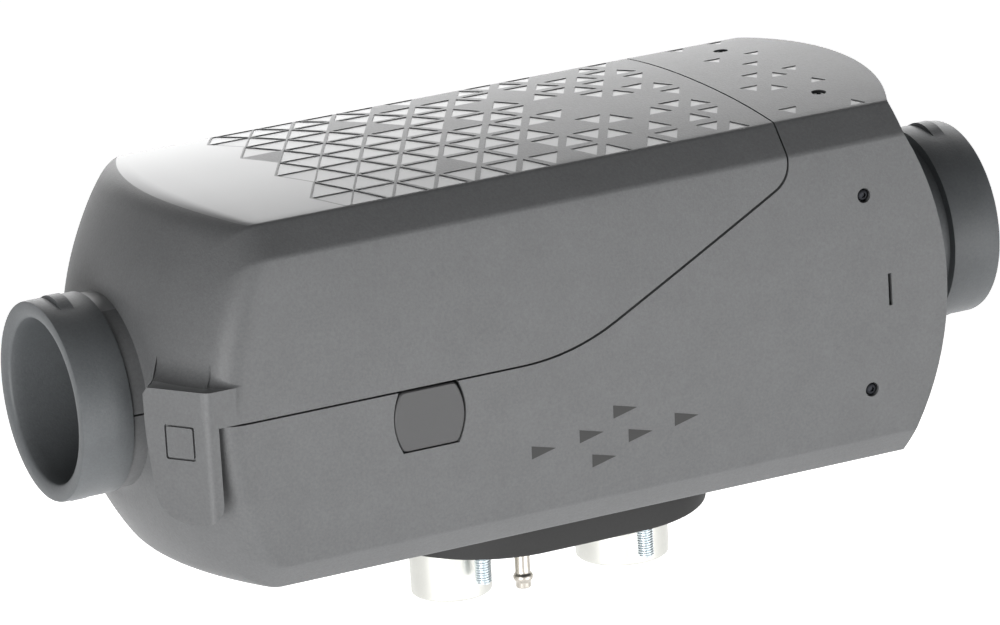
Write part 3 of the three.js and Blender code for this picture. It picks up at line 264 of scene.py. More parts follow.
def make_materials():
    """All the finishes by the name that the pieces use."""
    tone = colours()
    grained = moulded("grained_polyamide", tone.casing, 0.5, 0.0006, 0.00006, 0.12)
    return {
        # Glass-filled polyamide, moulded in a spark-eroded tool: an even grey with a fine dull grain, and on
        # its polished top a lighter colour that is a painted sheen.
        "casing": polished_top_painted_sheen(grained, tone.smooth),
        # The same plastic off the polished part of the tool: the floors of the relief on the top, in the
        # lighter colour of the polished top's painted sheen.
        "polished_casing_painted_sheen": moulded("smooth_polyamide_top_painted_sheen", tone.smooth, 0.34, 0.0009, 0.000002, 0.02),
        # Black-oxide steel of the casing screws: nearly black, with a small soft highlight.
        "screw": metal("black_oxide_steel", linear("#26272a"), 0.34, 0.0006, 0.000005),
        # The same plastic in the duct collars, a little bluer and coarser.
        "collar": moulded("grained_polyamide_collar", tone.collar, 0.5, 0.0006, 0.00005, 0.1),
        # Smooth polyamide: the plug comes from a polished tool.
        "plug": moulded("smooth_polyamide_plug", tone.plug, 0.5, 0.0008, 0.000003, 0.02),
        # EPDM rubber, moulded: nearly black and dull.
        "rubber": moulded("epdm_rubber", tone.rubber, 0.7, 0.0006, 0.00001, 0.1),
        # Pad-printed ink: matt and almost black.
        "marking": moulded("printed_ink", tone.marking, 0.6, 0.0006, 0.000004, 0.03),
        # Die-cast aluminium, shot-blasted: bright and satin, with a sandy grain.
        "cast_aluminium": metal("blasted_cast_aluminium", linear("#cdcdc8"), 0.45, 0.0007, 0.00002),
        # Stainless steel, drawn and bent: warm grey with a soft shine.
        "steel": metal("stainless_steel", linear("#b3aea6"), 0.3, 0.0009, 0.000004),
        # Zinc plating, blue passivated: cool and bright.
        "zinc": metal("blue_zinc_plating", linear("#dfe8ec"), 0.3, 0.0006, 0.000005),
        # Glass-filled polyamide, natural black, for the inner parts.
        "black_plastic": moulded(
            "black_glass_filled_polyamide", linear("#1d1e20"), 0.5, 0.0006, 0.00001, 0.1
        ),
        # Dark grey polyamide of the two wheels.
        "fan_plastic": moulded("dark_polyamide_wheel", linear("#2c2e31"), 0.45, 0.0008, 0.000006, 0.05),
        # Expanded graphite sheet: black with a soft metallic sheen.
        "gasket": moulded("graphite_sheet", linear("#2f3033"), 0.45, 0.0012, 0.00001, 0.1),
        # Sintered ferrite: matt charcoal.
        "magnet": moulded("sintered_ferrite", linear("#323234"), 0.6, 0.0008, 0.00001, 0.08),
        # Enamelled copper wire on laminations: brown red and glossy.
        "winding": metal("enamelled_copper", linear("#a2603c"), 0.35, 0.0011, 0.00002),
    }


MATERIALS = {}


# ------------------------------------------------------------------ meshes


def grid_cells(rows, columns, close_rows=False, close_columns=False):
    """The cells of a grid as (rows, columns, 4) corner numbers. A closed direction returns to its start."""
    index = np.arange(rows * columns).reshape(rows, columns)
    if close_rows:
        index = np.concatenate([index, index[:1]])
    if close_columns:
        index = np.concatenate([index, index[:, :1]], axis=1)
    return np.stack([index[:-1, :-1], index[1:, :-1], index[1:, 1:], index[:-1, 1:]], axis=-1)


def wall(outer, inner, keep=None, ring=False):
    """A closed wall between two grids of the same shape, each a function of two parameters.

    The kept cells of both grids become faces, the inner ones turned round, and a strip joins the two grids
    along every edge that only one kept cell has. With ring, the second parameter closes on itself.
    """
    cells = grid_cells(*outer.shape[:2], close_columns=ring)
    if keep is not None:
        cells = cells[keep]
    cells = cells.reshape(-1, 4)
    edges = np.concatenate([cells[:, [i, (i + 1) % 4]] for i in range(4)])
    back = edges[:, ::-1]
    size = outer.shape[0] * outer.shape[1]
    lone = ~np.isin(edges[:, 0] * size + edges[:, 1], back[:, 0] * size + back[:, 1])
    rim = edges[lone]
    strips = np.stack([rim[:, 1], rim[:, 0], rim[:, 0] + size, rim[:, 1] + size], axis=-1)
    points = np.concatenate([outer.reshape(-1, 3), inner.reshape(-1, 3)])
    return points, np.concatenate([cells, cells[:, ::-1] + size, strips])


def closed_loops(grid):
    """A closed surface from a grid whose two parameters both close on themselves."""
    return grid.reshape(-1, 3), grid_cells(*grid.shape[:2], True, True).reshape(-1, 4)


def capped(grid):
    """A closed surface from a grid whose second parameter closes on itself, with a fan over each end."""
    rows, columns = grid.shape[:2]
    cells = grid_cells(rows, columns, close_columns=True).reshape(-1, 4)
    ring = np.arange(columns)
    following, end = np.roll(ring, -1), (rows - 1) * columns
    first, last = rows * columns, rows * columns + 1
    near = np.stack([np.full(columns, first), ring, following], axis=-1)
    far = np.stack([np.full(columns, last), end + following, end + ring], axis=-1)
    points = np.concatenate([grid.reshape(-1, 3), grid[:1].mean(axis=1), grid[-1:].mean(axis=1)])
    return points, [*cells.tolist(), *near.tolist(), *far.tolist()]


def joined(*parts):
    """Several surfaces as one."""
    points, faces, count = [], [], 0
    for part_points, part_faces in parts:
        points.append(part_points)
        part_faces = np.asarray(part_faces, dtype=object).tolist()
        faces += [[corner + count for corner in face] for face in part_faces]
        count += len(part_points)
    return np.concatenate(points), faces


def prism(outline, low, high, axis="z"):
    """An outline of (first, second) points carried between two places on an axis, as a closed surface."""
    count = len(outline)
    order = {"x": [2, 0, 1], "y": [0, 2, 1], "z": [0, 1, 2]}[axis]
    ends = [np.column_stack([outline, np.full(count, place)])[:, order] for place in (low, high)]
    ring = np.arange(count)
    following = np.roll(ring, -1)
    sides = np.stack([ring, following, following + count, ring + count], axis=-1)
    return np.concatenate(ends), [*sides.tolist(), ring[::-1].tolist(), (ring + count).tolist()]


def mirrored(part):
    """A surface mirrored from -Y to +Y, with its faces turned to point outwards."""
    points, faces = part
    return points * [1, -1, 1], [list(face)[::-1] for face in faces]


def soften(points, reach, steps=3, close=True):
    """Rounds each corner of an outline: every corner becomes a quadratic curve between the two points at a
    reach before and after it, or at 0.45 of the side where that is shorter. reach is one value, or one a
    corner."""
    points = np.asarray(points, float)
    reach = np.broadcast_to(np.asarray(reach, float), len(points))[:, None]
    before, after = np.roll(points, 1, axis=0) - points, np.roll(points, -1, axis=0) - points
    size = [np.linalg.norm(side, axis=1, keepdims=True) for side in (before, after)]
    ends = [side / long * np.minimum(reach, 0.45 * long) for side, long in zip((before, after), size)]
    t = np.linspace(0, 1, steps)[None, :, None]
    curve = points[:, None] + (1 - t) ** 2 * ends[0][:, None] + t**2 * ends[1][:, None]
    if not close:
        return np.concatenate([points[:1], curve[1:-1].reshape(-1, 2), points[-1:]])
    return curve.reshape(-1, 2)


def lathe(profile, steps, axis="x", centre=(0.0, 0.0)):
    """A closed outline of (place, radius) points turned about an axis: each point becomes a circle."""
    angle = np.arange(steps) / steps * 2 * np.pi
    place, radius = np.asarray(profile).T
    grid = np.stack(
        [
            np.broadcast_to(place[:, None], (len(place), steps)),
            radius[:, None] * np.cos(angle) + centre[0],
            radius[:, None] * np.sin(angle) + centre[1],
        ],
        axis=-1,
    )
    return closed_loops(grid if axis == "x" else grid[..., [1, 2, 0]])


def meshed(name, part, kinds=None):
    """A new object of a surface in the part's frame, its doubled points merged and its faces turned outwards.

    kinds gives each face its material's number.
    """
    mesh = bpy.data.meshes.new(name)
    mesh.from_pydata((np.asarray(part[0]) + DATUM).tolist(), [], [list(face) for face in part[1]])
    if kinds is not None:
        mesh.polygons.foreach_set("material_index", kinds)
    shape = bmesh.new()
    shape.from_mesh(mesh)
    bmesh.ops.remove_doubles(shape, verts=shape.verts, dist=1e-6)
    bmesh.ops.recalc_face_normals(shape, faces=shape.faces)
    shape.to_mesh(mesh)
    shape.free()
    made = bpy.data.objects.new(name, mesh)
    bpy.context.scene.collection.objects.link(made)
    return made


def build(name, part, finish, body, stands_for=(), cutters=None, sharp=34.0, polished=0):
    """Makes one piece: its mesh, cuts, shading and finish, then what it rides on and stands for.

    The cutters' first polished faces leave the polished finish of the top, with its painted sheen, and the
    others the piece's own.
    """
    piece = meshed(name, part)
    if cutters is not None:
        tool = meshed("cutter", cutters, (np.arange(len(cutters[1])) < polished).astype(np.int32))
        for data in (piece.data, tool.data):
            data.materials.append(MATERIALS[finish])
            data.materials.append(MATERIALS["polished_casing_painted_sheen"])
        cut = piece.modifiers.new("cut", "BOOLEAN")
        cut.operation, cut.solver, cut.object = "DIFFERENCE", "EXACT", tool
        bpy.context.view_layer.update()
        graph = bpy.context.evaluated_depsgraph_get()
        finished = bpy.data.meshes.new_from_object(piece.evaluated_get(graph))
        piece.modifiers.clear()
        piece.data = finished
        bpy.data.objects.remove(tool)
    piece.data.name = name
    piece.data.shade_smooth()
    piece.data.set_sharp_from_angle(angle=np.radians(sharp))
    if cutters is None:
        piece.data.materials.clear()
        piece.data.materials.append(MATERIALS[finish])
    elif not polished:
        piece.data.materials.pop(index=1)
    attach(piece, body)
    if stands_for:
        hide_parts(*stands_for)
    return piece


# ------------------------------------------------------------------ casing form


def crown(place):
    """How far a panel stands out over its edges, as a share of its crown: 1 - |place|^2.2."""
    return 1 - np.abs(np.clip(place, -1, 1)) ** 2.2


def span(a, b, count):
    """Points from a towards b, without b. Either end may be an array of points."""
    share = np.arange(count)[:, None] / count
    a, b = np.asarray(a, float), np.asarray(b, float)
    return a[..., None, :] + (b - a)[..., None, :] * share


def bend(a, corner, b, reach, count=4):
    """A quadratic curve round a corner between the points at a reach towards a and towards b."""
    a, corner, b = (np.asarray(p, float) for p in (a, corner, b))
    first = corner + (a - corner) / np.linalg.norm(a - corner) * reach
    last = corner + (b - corner) / np.linalg.norm(b - corner) * reach
    t = np.arange(count)[:, None] / count
    return (1 - t) ** 2 * first + 2 * t * (1 - t) * corner + t**2 * last, last


PARTING_ROWS = 20


def outline(inset, part_z):
    """The rounded octagon round the duct axis, drawn in by inset, as (places, points, 2) of y and z.

    It runs from the middle of the underside by the -Y side to the middle of the top and back by the +Y side.
    On each side one row, number SIDE_ROW, lies at part_z; the rows below and above share out evenly. The
    side panels and the top stand out by their crowns.
    """
    s = sizes()
    across, down = 0.0074, 0.0088
    slant = np.arctan2(down, across)
    width, top, bottom = s.half_width - inset, s.top_height - inset, s.bottom_height - inset
    flat = s.half_width - across - inset * np.tan(slant / 2)
    drop = down + inset * (np.tan(np.pi / 4 - slant / 2) - 1)
    corners = [(-flat, -bottom), (-width, -bottom + drop), (-width, top - drop), (-flat, top)]
    reach = max(s.corner - 0.3 * inset, 0.0002)
    part_z = np.atleast_1d(part_z)
    count = len(part_z)
    bends = [
        bend((0, -bottom), corners[0], corners[1], reach),
        bend(corners[0], corners[1], corners[2], reach),
        bend(corners[1], corners[2], corners[3], reach),
        bend(corners[2], corners[3], (0, top), reach),
    ]
    parting = np.stack([np.full(count, -width), part_z], axis=-1)
    runs = [
        span((0, -bottom), bends[0][0][0], 12),
        bends[0][0],
        span(bends[0][1], bends[1][0][0], 3),
        bends[1][0],
        span(bends[1][1], parting, PARTING_ROWS),
        span(parting, bends[2][0][0], PARTING_ROWS),
        bends[2][0],
        span(bends[2][1], bends[3][0][0], 3),
        bends[3][0],
        span(bends[3][1], (0, top), 16),
        np.array([[0, top]]),
    ]
    half = np.concatenate([np.broadcast_to(run, (count, *run.shape[-2:])) for run in runs], axis=1).copy()
    low, high = corners[1][1], corners[2][1]
    beside = (half[..., 1] - (low + high) / 2) / ((high - low) / 2)
    above = half[..., 0] / flat
    half[..., 0] -= s.side_crown * crown(beside) * (np.abs(beside) < 1)
    half[..., 1] += s.top_crown * crown(above) * (np.abs(above) < 1) * (half[..., 1] > 0)
    other = half[:, -2:0:-1] * [-1, 1]
    return np.concatenate([half, other], axis=1)


# The rows of an outline: the bottom's half, two bends with a chamfer between them, then the side.
SIDE_ROW = 12 + 4 + 3 + 4 + PARTING_ROWS
HALF_ROWS = SIDE_ROW + PARTING_ROWS + 4 + 3 + 4 + 16
FAR_ROW = 2 * HALF_ROWS - SIDE_ROW


def dome(ring, inset):
    """The dome over a ring of the octagon, at +X, as (stations, points, 3), from its open edge to its neck.

    A point at radius R of the ring runs in to the neck's radius while it bulges ahead: with u from 0 to 1,
    r = R + (neck - R) u and x = foot + (end - foot) (1 - (1 - u)^1.5), where the foot lies on a sphere. Up to
    u = 0.18 a quadratic curve takes its place, from the panel round the foot, which rounds the edge.
    """
    radius = np.hypot(ring[..., 0], ring[..., 1])
    foot = 0.0268 + np.sqrt((0.1087 - inset) ** 2 - radius**2)
    end, neck = DOME_END - inset, DOME_NECK - inset

    def bulge(u):
        return foot + (end - foot) * (1 - (1 - u) ** 1.5), radius + (neck - radius) * u

    begin = 0.0182 + np.sqrt(0.114**2 - radius**2) - 0.004
    last = bulge(0.18)
    t = np.linspace(0, 1, 9)[:, None]
    edge = (
        (1 - t) ** 2 * begin + 2 * t * (1 - t) * foot + t**2 * last[0],
        (1 - t**2) * radius + t**2 * last[1],
    )
    rest = bulge(np.linspace(0.18, 1, 16)[1:, None])
    x, r = (np.concatenate(pair) for pair in zip(edge, rest))
    return np.stack([x, ring[..., 0] * r / radius, ring[..., 1] * r / radius], axis=-1)


def parting_curve():
    """The parting line on a side, as x and z: level, then rising at 27.6 degrees, then up at x = 68 mm.
    Both bends are quadratic curves."""
    slope = np.tan(np.radians(27.6))
    run = np.cos(np.radians(27.6))
    foot, head = -0.0082, PARTING_END_X
    peak = (head - foot) * slope
    t = np.linspace(0, 1, 9)[:, None]

    def curve(a, b, c):
        a, b, c = (np.array(p) for p in (a, b, c))
        return (1 - t) ** 2 * a + 2 * t * (1 - t) * b + t**2 * c

    low = curve((foot - 0.017, 0), (foot, 0), (foot + 0.017 * run, 0.017 * run * slope))
    high = curve((head - 0.006 * run, peak - 0.006 * run * slope), (head, peak), (head, peak + 0.006))
    middle = span(low[-1], high[0], 8)[1:]
    return np.concatenate([low, middle, high])


def casing_grid(inset, shift):
    """The casing's skin, drawn in by inset, as (stations, points, 3) from the intake neck to the outlet rim.

    The parting line is moved by shift along X and down. Returns the grid and the station it ends at.
    """
    line = parting_curve() + [shift, -shift]
    line[:, 1] = np.minimum(line[:, 1], 0.0455)
    level = outline(inset, -shift)[0]
    radius = np.hypot(*level.T)
    ends = dome(level, inset)[::-1] * [-1, 1, 1]
    neck = level / radius[:, None] * (0.0292 - inset)
    necks = [np.column_stack([np.full(len(neck), x), neck]) for x in (-0.138, -0.1332)]
    before = [(x, -shift) for x in (-0.1, -0.085, -0.07, -0.055, -0.04)]
    places = np.array([*before, *line])
    rings = outline(inset, places[:, 1])
    body = np.concatenate([np.broadcast_to(places[:, :1, None], (*rings.shape[:2], 1)), rings], axis=-1)
    last = rings[-1]
    outer = outline(0.0, places[-1:, 1])[0]
    rim = 0.0312 + np.sqrt(0.105**2 - np.hypot(*outer.T) ** 2)
    share = np.linspace(0, 1, 9)[1:, None]
    tail_x = places[-1, 0] + (rim - places[-1, 0]) * share
    tail = np.concatenate([tail_x[..., None], np.broadcast_to(last, (*tail_x.shape, 2))], axis=-1)
    stop = len(necks) + len(ends) + len(places) - 1
    grid = np.concatenate([np.stack(necks), ends, body, tail])
    grid[: len(necks) + len(ends), [SIDE_ROW, FAR_ROW], 2] = -shift
    return grid, stop


def top_height(y):
    """The outside of the top panel over a place across it."""
    s = sizes()
    return s.top_height + s.top_crown * crown(np.asarray(y) / TOP_HALF)


def side_width(z):
    """The outside of a side panel over a height, from the duct axis."""
    s = sizes()
    return s.half_width + s.side_crown * crown((np.asarray(z) - 0.00027) / 0.04653)


# ------------------------------------------------------------------ relief on the top


def pockets():
    """Triangular pockets of the relief, as cutters: an equilateral tessellation with sides along X.

    Each triangle shrinks towards its middle as x grows, by 0.95 - 3.4 (x + 0.07), and the share of those left
    out grows with x. Each pocket is a prism from its floor, at the pocket's depth, to over the top.
    """
    s = sizes()
    side, rise = s.triangle_side, s.triangle_side * np.sqrt(3) / 2
    column, row, up = (a.ravel() for a in np.meshgrid(np.arange(-1, 15), np.arange(-4, 4), [0, 1]))
    odd = np.abs(row + 1 - up) % 2
    flat_y = (row + 1 - up) * rise
    tip_y = (row + up) * rise
    left = RELIEF_START - odd * side / 2 + column * side
    x = np.stack([left, left + side, left + side / 2], axis=-1)
    y = np.stack([flat_y, flat_y, tip_y], axis=-1)
    middle_x, middle_y = x.mean(axis=-1), y.mean(axis=-1)
    scale = 0.95 - 3.4 * (middle_x + 0.07)
    x = middle_x[:, None] + (x - middle_x[:, None]) * scale[:, None]
    y = middle_y[:, None] + (y - middle_y[:, None]) * scale[:, None]
    luck = np.abs(np.sin(column * 12.9898 + row * 78.233 + up * 37.719) * 43758.5453) % 1
    wanted = luck > np.clip((middle_x + 0.045) * 4.2, 0, 0.62)
    clear_of_parting = np.abs(middle_x - PARTING_END_X) > side * scale / 2 + 0.001
    clear_of_screws = np.hypot(middle_x - SCREW_X, np.abs(middle_y) - SCREW_OUT) > 0.0085
    inside = (x.min(axis=-1) > -0.0812) & (x.max(axis=-1) < 0.104)
    keep = wanted & clear_of_parting & clear_of_screws & inside
    x, y = x[keep], y[keep]
    limit = 0.0459
    cut_y = np.clip(y, -limit, limit)
    share = ((cut_y - y[:, :1]) / (y[:, 2:] - y[:, :1]))[:, [0, 2]]
    low_x = x[:, 0:1] + (x[:, 2:] - x[:, 0:1]) * share
    high_x = x[:, 1:2] + (x[:, 2:] - x[:, 1:2]) * share
    ends = cut_y[:, [0, 2]]
    corners_x = np.stack([low_x[:, 0], high_x[:, 0], high_x[:, 1], low_x[:, 1]], axis=-1)
    corners_y = np.stack([ends[:, 0], ends[:, 0], ends[:, 1], ends[:, 1]], axis=-1)
    floor = np.stack([corners_x, corners_y, top_height(corners_y) - s.pocket_depth], axis=-1)
    lid = floor + [0, 0, 0.003]
    points = np.concatenate([floor, lid], axis=1).reshape(-1, 3)
    box = np.array([[0, 1, 2, 3], [7, 6, 5, 4], [0, 4, 5, 1], [1, 5, 6, 2], [2, 6, 7, 3], [3, 7, 4, 0]])
    faces = (box[None] + 8 * np.arange(len(x))[:, None, None]).reshape(-1, 4)
    return points, faces, np.stack([x.mean(axis=1), y.mean(axis=1)], axis=-1)


def some(cutters, chosen):
    """The prisms of a set of cutters that are chosen, with eight points and six faces each."""
    points = cutters[0].reshape(-1, 8, 3)[chosen].reshape(-1, 3)
    faces = cutters[1][: 6 * int(chosen.sum())]
    return points, faces


# ------------------------------------------------------------------ tongue of the upper shell


FOLD = np.array([-0.1262, -0.0562])
ALONG = np.array([-np.cos(np.radians(55)), np.sin(np.radians(55))])
INWARD = np.array([np.sin(np.radians(55)), np.cos(np.radians(55))])


def on_fold(place, depth):
    """A plan point of the tongue: by its way from the fold, negative on the side's own plane, and its depth
    under the face. The fold is rounded over 2 mm each way, by easing one direction into the other."""
    place, depth = np.broadcast_arrays(np.asarray(place, float), np.asarray(depth, float))
    soft = 0.002
    share = np.clip((place + soft) / (2 * soft), 0, 1)
    eased = np.where(place < -soft, 0.0, np.where(place > soft, place, soft * share**2))
    back = place - eased
    point = FOLD + eased[..., None] * ALONG + back[..., None] * np.array([-1.0, 0.0])
    normal = (1 - share[..., None]) * np.array([0.0, 1.0]) + share[..., None] * INWARD
    normal /= np.linalg.norm(normal, axis=-1, keepdims=True)
    return point + depth[..., None] * normal


def plate(grow=0.0, face=0.0, back=0.003):
    """The hanging plate, as a wall between two depths: rows down its height, each from its rear edge to its
    front edge. Its edges are moved out by grow, which makes the room round it.

    The edges close on the rounded lower end by superellipses about the place 7.3 mm from the fold.
    """
    turn = np.sin(np.linspace(0, np.pi / 2, 14)[1:])
    z = np.concatenate([np.linspace(0.002996, -0.018, 12), -0.018 - 0.0112 * turn])
    drop = np.clip((-z - 0.018) / 0.01125, 0, 1)
    front = np.where(z > -0.018, 0.0217 - 0.0019 * np.clip((0.002 - z) / 0.02, 0, 1) ** 1.6, 0)
    close = (1 - drop**2.4) ** (1 / 2.2)
    front = np.where(z > -0.018, front, 0.0068 + (0.0198 - 0.0068) * close)
    sink = np.clip((-z - 0.0225) / 0.00675, 0, 1)
    rear = -0.0029 + (0.0068 + 0.0029) * (1 - (1 - sink**2.4) ** (1 / 2.4))
    share = np.linspace(0, 1, 33)
    front, rear = front + grow, rear - grow
    z = z - grow * np.clip(-z / 0.0292, 0, 1)
    place = rear[:, None] + (front - rear)[:, None] * share
    height = np.broadcast_to(z[:, None], place.shape)
    faces = [
        np.concatenate([on_fold(place, depth), height[..., None]], axis=-1) for depth in (face, back)
    ]
    return wall(*faces)


def dome_slice(grid, height):
    """Where a skin's near side crosses a height, as one plan point a station."""
    near = grid[:, SIDE_ROW : SIDE_ROW + 21]
    points = [[np.interp(height, row[:, 2], row[:, k]) for k in (0, 1)] for row in near]
    return np.array(points)


def depth_to(points, normals, line):
    """How far each ray, from a point along its normal, runs before it meets the line of plan points."""
    a, b = line[:-1], line[1:]
    side = b - a
    gap = a[None] - points[:, None]
    cross = normals[:, None, 0] * side[None, :, 1] - normals[:, None, 1] * side[None, :, 0]
    way = (gap[..., 0] * side[None, :, 1] - gap[..., 1] * side[None, :, 0]) / cross
    share = (gap[..., 0] * normals[:, None, 1] - gap[..., 1] * normals[:, None, 0]) / cross
    hit = (share >= -1e-6) & (share <= 1 + 1e-6) & (way > -0.001)
    return np.where(hit, way, np.inf).min(axis=1)


def cheek(grid):
    """The block that carries the side panel on to the tongue, with its shelf, as a profile carried along.

    At each place along the tongue the profile runs down its face, in under it, up inside the casing to where
    the shelf leaves the dome, and back to the face by a quadratic curve that is level at the face and follows
    the dome at its other end.
    """
    runs = [np.linspace(-0.0125, -0.00295, 11), np.linspace(-0.0029, 0, 5)[:-1], np.linspace(0, 0.0217, 16)]
    place = np.concatenate(runs)
    outer = on_fold(place, 0.0)
    normals = on_fold(place, 1.0) - outer
    low = depth_to(outer, normals, dome_slice(grid, 0.0125))
    low = np.where(np.isfinite(low), np.clip(low, 0.0, 0.011), 0.0)
    shelf = 0.0118 + 0.0062 * np.clip(low / 0.006, 0, 1)
    high = np.array(
        [
            depth_to(outer[i : i + 1], normals[i : i + 1], dome_slice(grid, shelf[i]))[0]
            for i in range(len(place))
        ]
    )
    high = np.where(np.isfinite(high), np.clip(high, 0.0, 0.013), 0.0)
    t = np.linspace(0, 1, 12)[None]
    past = np.clip((place - 0.0197) / 0.002, 0, 1)[:, None]
    face_z = 0.0114 - 0.002 * (1 - np.sqrt(1 - past**2))
    curve_depth = (1 - t) ** 2 * high[:, None] + 2 * t * (1 - t) * (0.96 * low[:, None])
    curve_z = (1 - t) ** 2 * shelf[:, None] + 2 * t * (1 - t) * (face_z + 0.0007) + t**2 * face_z
    count = len(place)
    inner = np.maximum(low, high) + 0.0008
    foot = np.where(place < -0.00292, 0.0003, 0.003)
    depth = np.column_stack([np.zeros(count), inner, inner, curve_depth])
    height = np.column_stack([foot, foot, shelf, curve_z])
    plan = on_fold(place[:, None], depth)
    return capped(np.concatenate([plan, height[..., None]], axis=-1))


# ------------------------------------------------------------------ shells


def outlet_outline(grow):
    """The barrel outline of a cable outlet, as x and z, with bulging sides and a straight top and bottom."""
    half, bulge = 0.00885 + grow, 0.00355
    top, bottom = -0.0005 + 5 * grow, -0.0188 - grow
    t = np.linspace(0, 1, 13)
    z = bottom + (top - bottom) * t
    out = half + bulge * 4 * t * (1 - t) * 0.75
    right = np.column_stack([OUTLET_X + out, z])
    left = np.column_stack([OUTLET_X - out, z])[::-1]
    return np.concatenate([right, left])


def box(low, high):
    """A block between two corners."""
    x, y, z = zip(low, high)
    return prism(np.array([(x[0], y[0]), (x[1], y[0]), (x[1], y[1]), (x[0], y[1])]), *z)


def hole(axis, radius, low, high, centre, steps=48):
    """A round cutter along an axis."""
    angle = np.arange(steps) / steps * 2 * np.pi
    ring = np.column_stack([np.cos(angle), np.sin(angle)]) * radius + centre
    return prism(ring, low, high, axis)


def screw_places():
    """Each casing screw's place on the surface and its way in."""
    both = (SCREW_OUT, -SCREW_OUT)
    side, top = float(side_width(SCREW_OUT)), float(top_height(SCREW_OUT))
    near = [((SCREW_X, -side, z), (0, 1, 0)) for z in both]
    far = [((SCREW_X, side, z), (0, -1, 0)) for z in both]
    return [*near, *far, *[((SCREW_X, y, top), (0, 0, -1)) for y in both]]


def towards(part, place, way):
    """A surface made about +X from the origin, turned to point that way and moved to a place."""
    x = np.array(way, float)
    side = np.array([0.0, 0.0, 1.0]) if abs(x[2]) < 0.5 else np.array([1.0, 0.0, 0.0])
    turn = np.array([x, np.cross(side, x), side])
    return part[0] @ turn + place, part[1]


def casing_pieces():
    """The two shells: each is the wall between the casing's skin and the same skin drawn in by the wall."""
    s = sizes()
    half_gap = s.parting_gap / 2
    relief = pockets()
    right = relief[2][:, 0] > PARTING_END_X

    outer, stop = casing_grid(0.0, -half_gap)
    inner, _ = casing_grid(s.wall, -half_gap)
    station, row = np.meshgrid(np.arange(outer.shape[0] - 1), np.arange(outer.shape[1]), indexing="ij")
    upper = (row >= SIDE_ROW) & (row < FAR_ROW)
    shell = wall(outer, inner, (station < stop) & upper, ring=True)
    cuts = some(relief, ~right)
    # The pocket floors take the polished top's finish, with its painted sheen.
    build("upper_shell_skin", shell, "casing", "cover", ["upper_shell"], cutters=cuts, polished=len(cuts[1]))
    for side, flipped in (("near", lambda part: part), ("far", mirrored)):
        build(f"catch_shelf_{side}", flipped(cheek(outer)), "casing", "cover", ["upper_shell"])
        cutter = flipped(catch_square())
        build(f"catch_plate_{side}", flipped(plate()), "casing", "cover", ["upper_shell"], cutters=cutter)

    outer, stop = casing_grid(0.0, half_gap)
    inner, _ = casing_grid(s.wall, half_gap)
    shell = wall(outer, inner, (station >= stop) | ~upper, ring=True)
    slot = box((SLOT_X - SLOT_HALF, -0.07, -0.005), (SLOT_X + SLOT_HALF, 0.07, 0.005))
    mouth = prism(outlet_outline(0.0003), -0.07, -0.045, "y")
    room = plate(0.0009, -0.002, 0.0046)
    recess, shank = 0.00225, 0.0017
    seat, deep = 0.0016, 0.006
    step = [(-0.001, 1e-5), (-0.001, recess), (seat, recess), (seat, shank), (deep, shank), (deep, 1e-5)]
    holes = [towards(lathe(step, 32), *place) for place in screw_places()]
    build(
        "lower_shell_skin",
        shell,
        "casing",
        "base",
        ["lower_shell"],
        cutters=joined(some(relief, right), slot, mouth, mirrored(mouth), room, mirrored(room), *holes),
        # The pocket floors on the right take the polished top's finish, with its painted sheen.
        polished=6 * int(right.sum()),
    )


def catch_square():
    """The cutter of the square line on a tongue, 0.6 mm wide and 0.9 mm deep, with rounded corners."""
    low, high, thick = np.array([0.0053, -0.0097]), np.array([0.0152, 0.0008]), 0.0006
    loop = soften([low, (high[0], low[1]), high, (low[0], high[1])], 0.0008, 4)
    middle, half = (low + high) / 2, (high - low) / 2
    rings = []
    for shrink, depth in ((0.0, -0.001), (0.0, 0.0009), (thick, 0.0009), (thick, -0.001)):
        ring = middle + (loop - middle) * (1 - shrink / half)
        rings.append(np.column_stack([on_fold(ring[:, 0], depth), ring[:, 1]]))
    return closed_loops(np.stack(rings))


# ------------------------------------------------------------------ the other pieces


def collar(inner_end, neck=0.027):
    """A duct collar at +X: its outline turned about the duct, with two lens-shaped hose lugs.

    On the lugs' rows the radius is that of a circle of 14.2 mm whose crest stands 1.2 mm over the collar,
    wherever that is the greater.
    """
    s = sizes()
    rim, back = s.duct_length / 2, 0.1383
    outer, bore = s.collar_radius, s.bore_radius
    profile = [
        (inner_end, bore),
        (inner_end, neck),
        (back, neck),
        (back, outer),
        (rim - 0.0095, outer),
        (rim - 0.0094, outer),
        (rim - 0.0055, outer),
        (rim - 0.0054, outer),
        (rim, outer),
        (rim, bore + 0.0022),
        (rim - 0.0009, bore + 0.0004),
        (rim - 0.004, bore),
    ]
    lugs = np.array([0, 0, 0, 0, 0, 1, 1, 0, 0, 0, 0, 0])
    reach = np.array([0.2, 0.2, 0.2, 0.3, 0, 0, 0, 0, 0.8, 0.9, 0.6, 1.0]) / 1000
    steps = 3
    shape = soften(profile, reach, steps)
    grown = np.repeat(lugs, steps)
    angle = np.arange(144) / 144 * 2 * np.pi
    lug, crest = 0.0142, outer + 0.0012
    centre = crest - lug
    up = np.abs(np.sin(angle))
    reach_up = centre * up + np.sqrt(np.maximum(lug**2 - centre**2 * (1 - up**2), 0))
    swollen = np.maximum(outer, np.where(lug**2 > centre**2 * (1 - up**2), reach_up, 0))
    radius = np.where(grown[:, None] > 0, swollen, shape[:, 1:])
    grid = np.stack(
        [np.broadcast_to(shape[:, :1], radius.shape), radius * np.cos(angle), radius * np.sin(angle)], axis=-1
    )
    return closed_loops(grid)


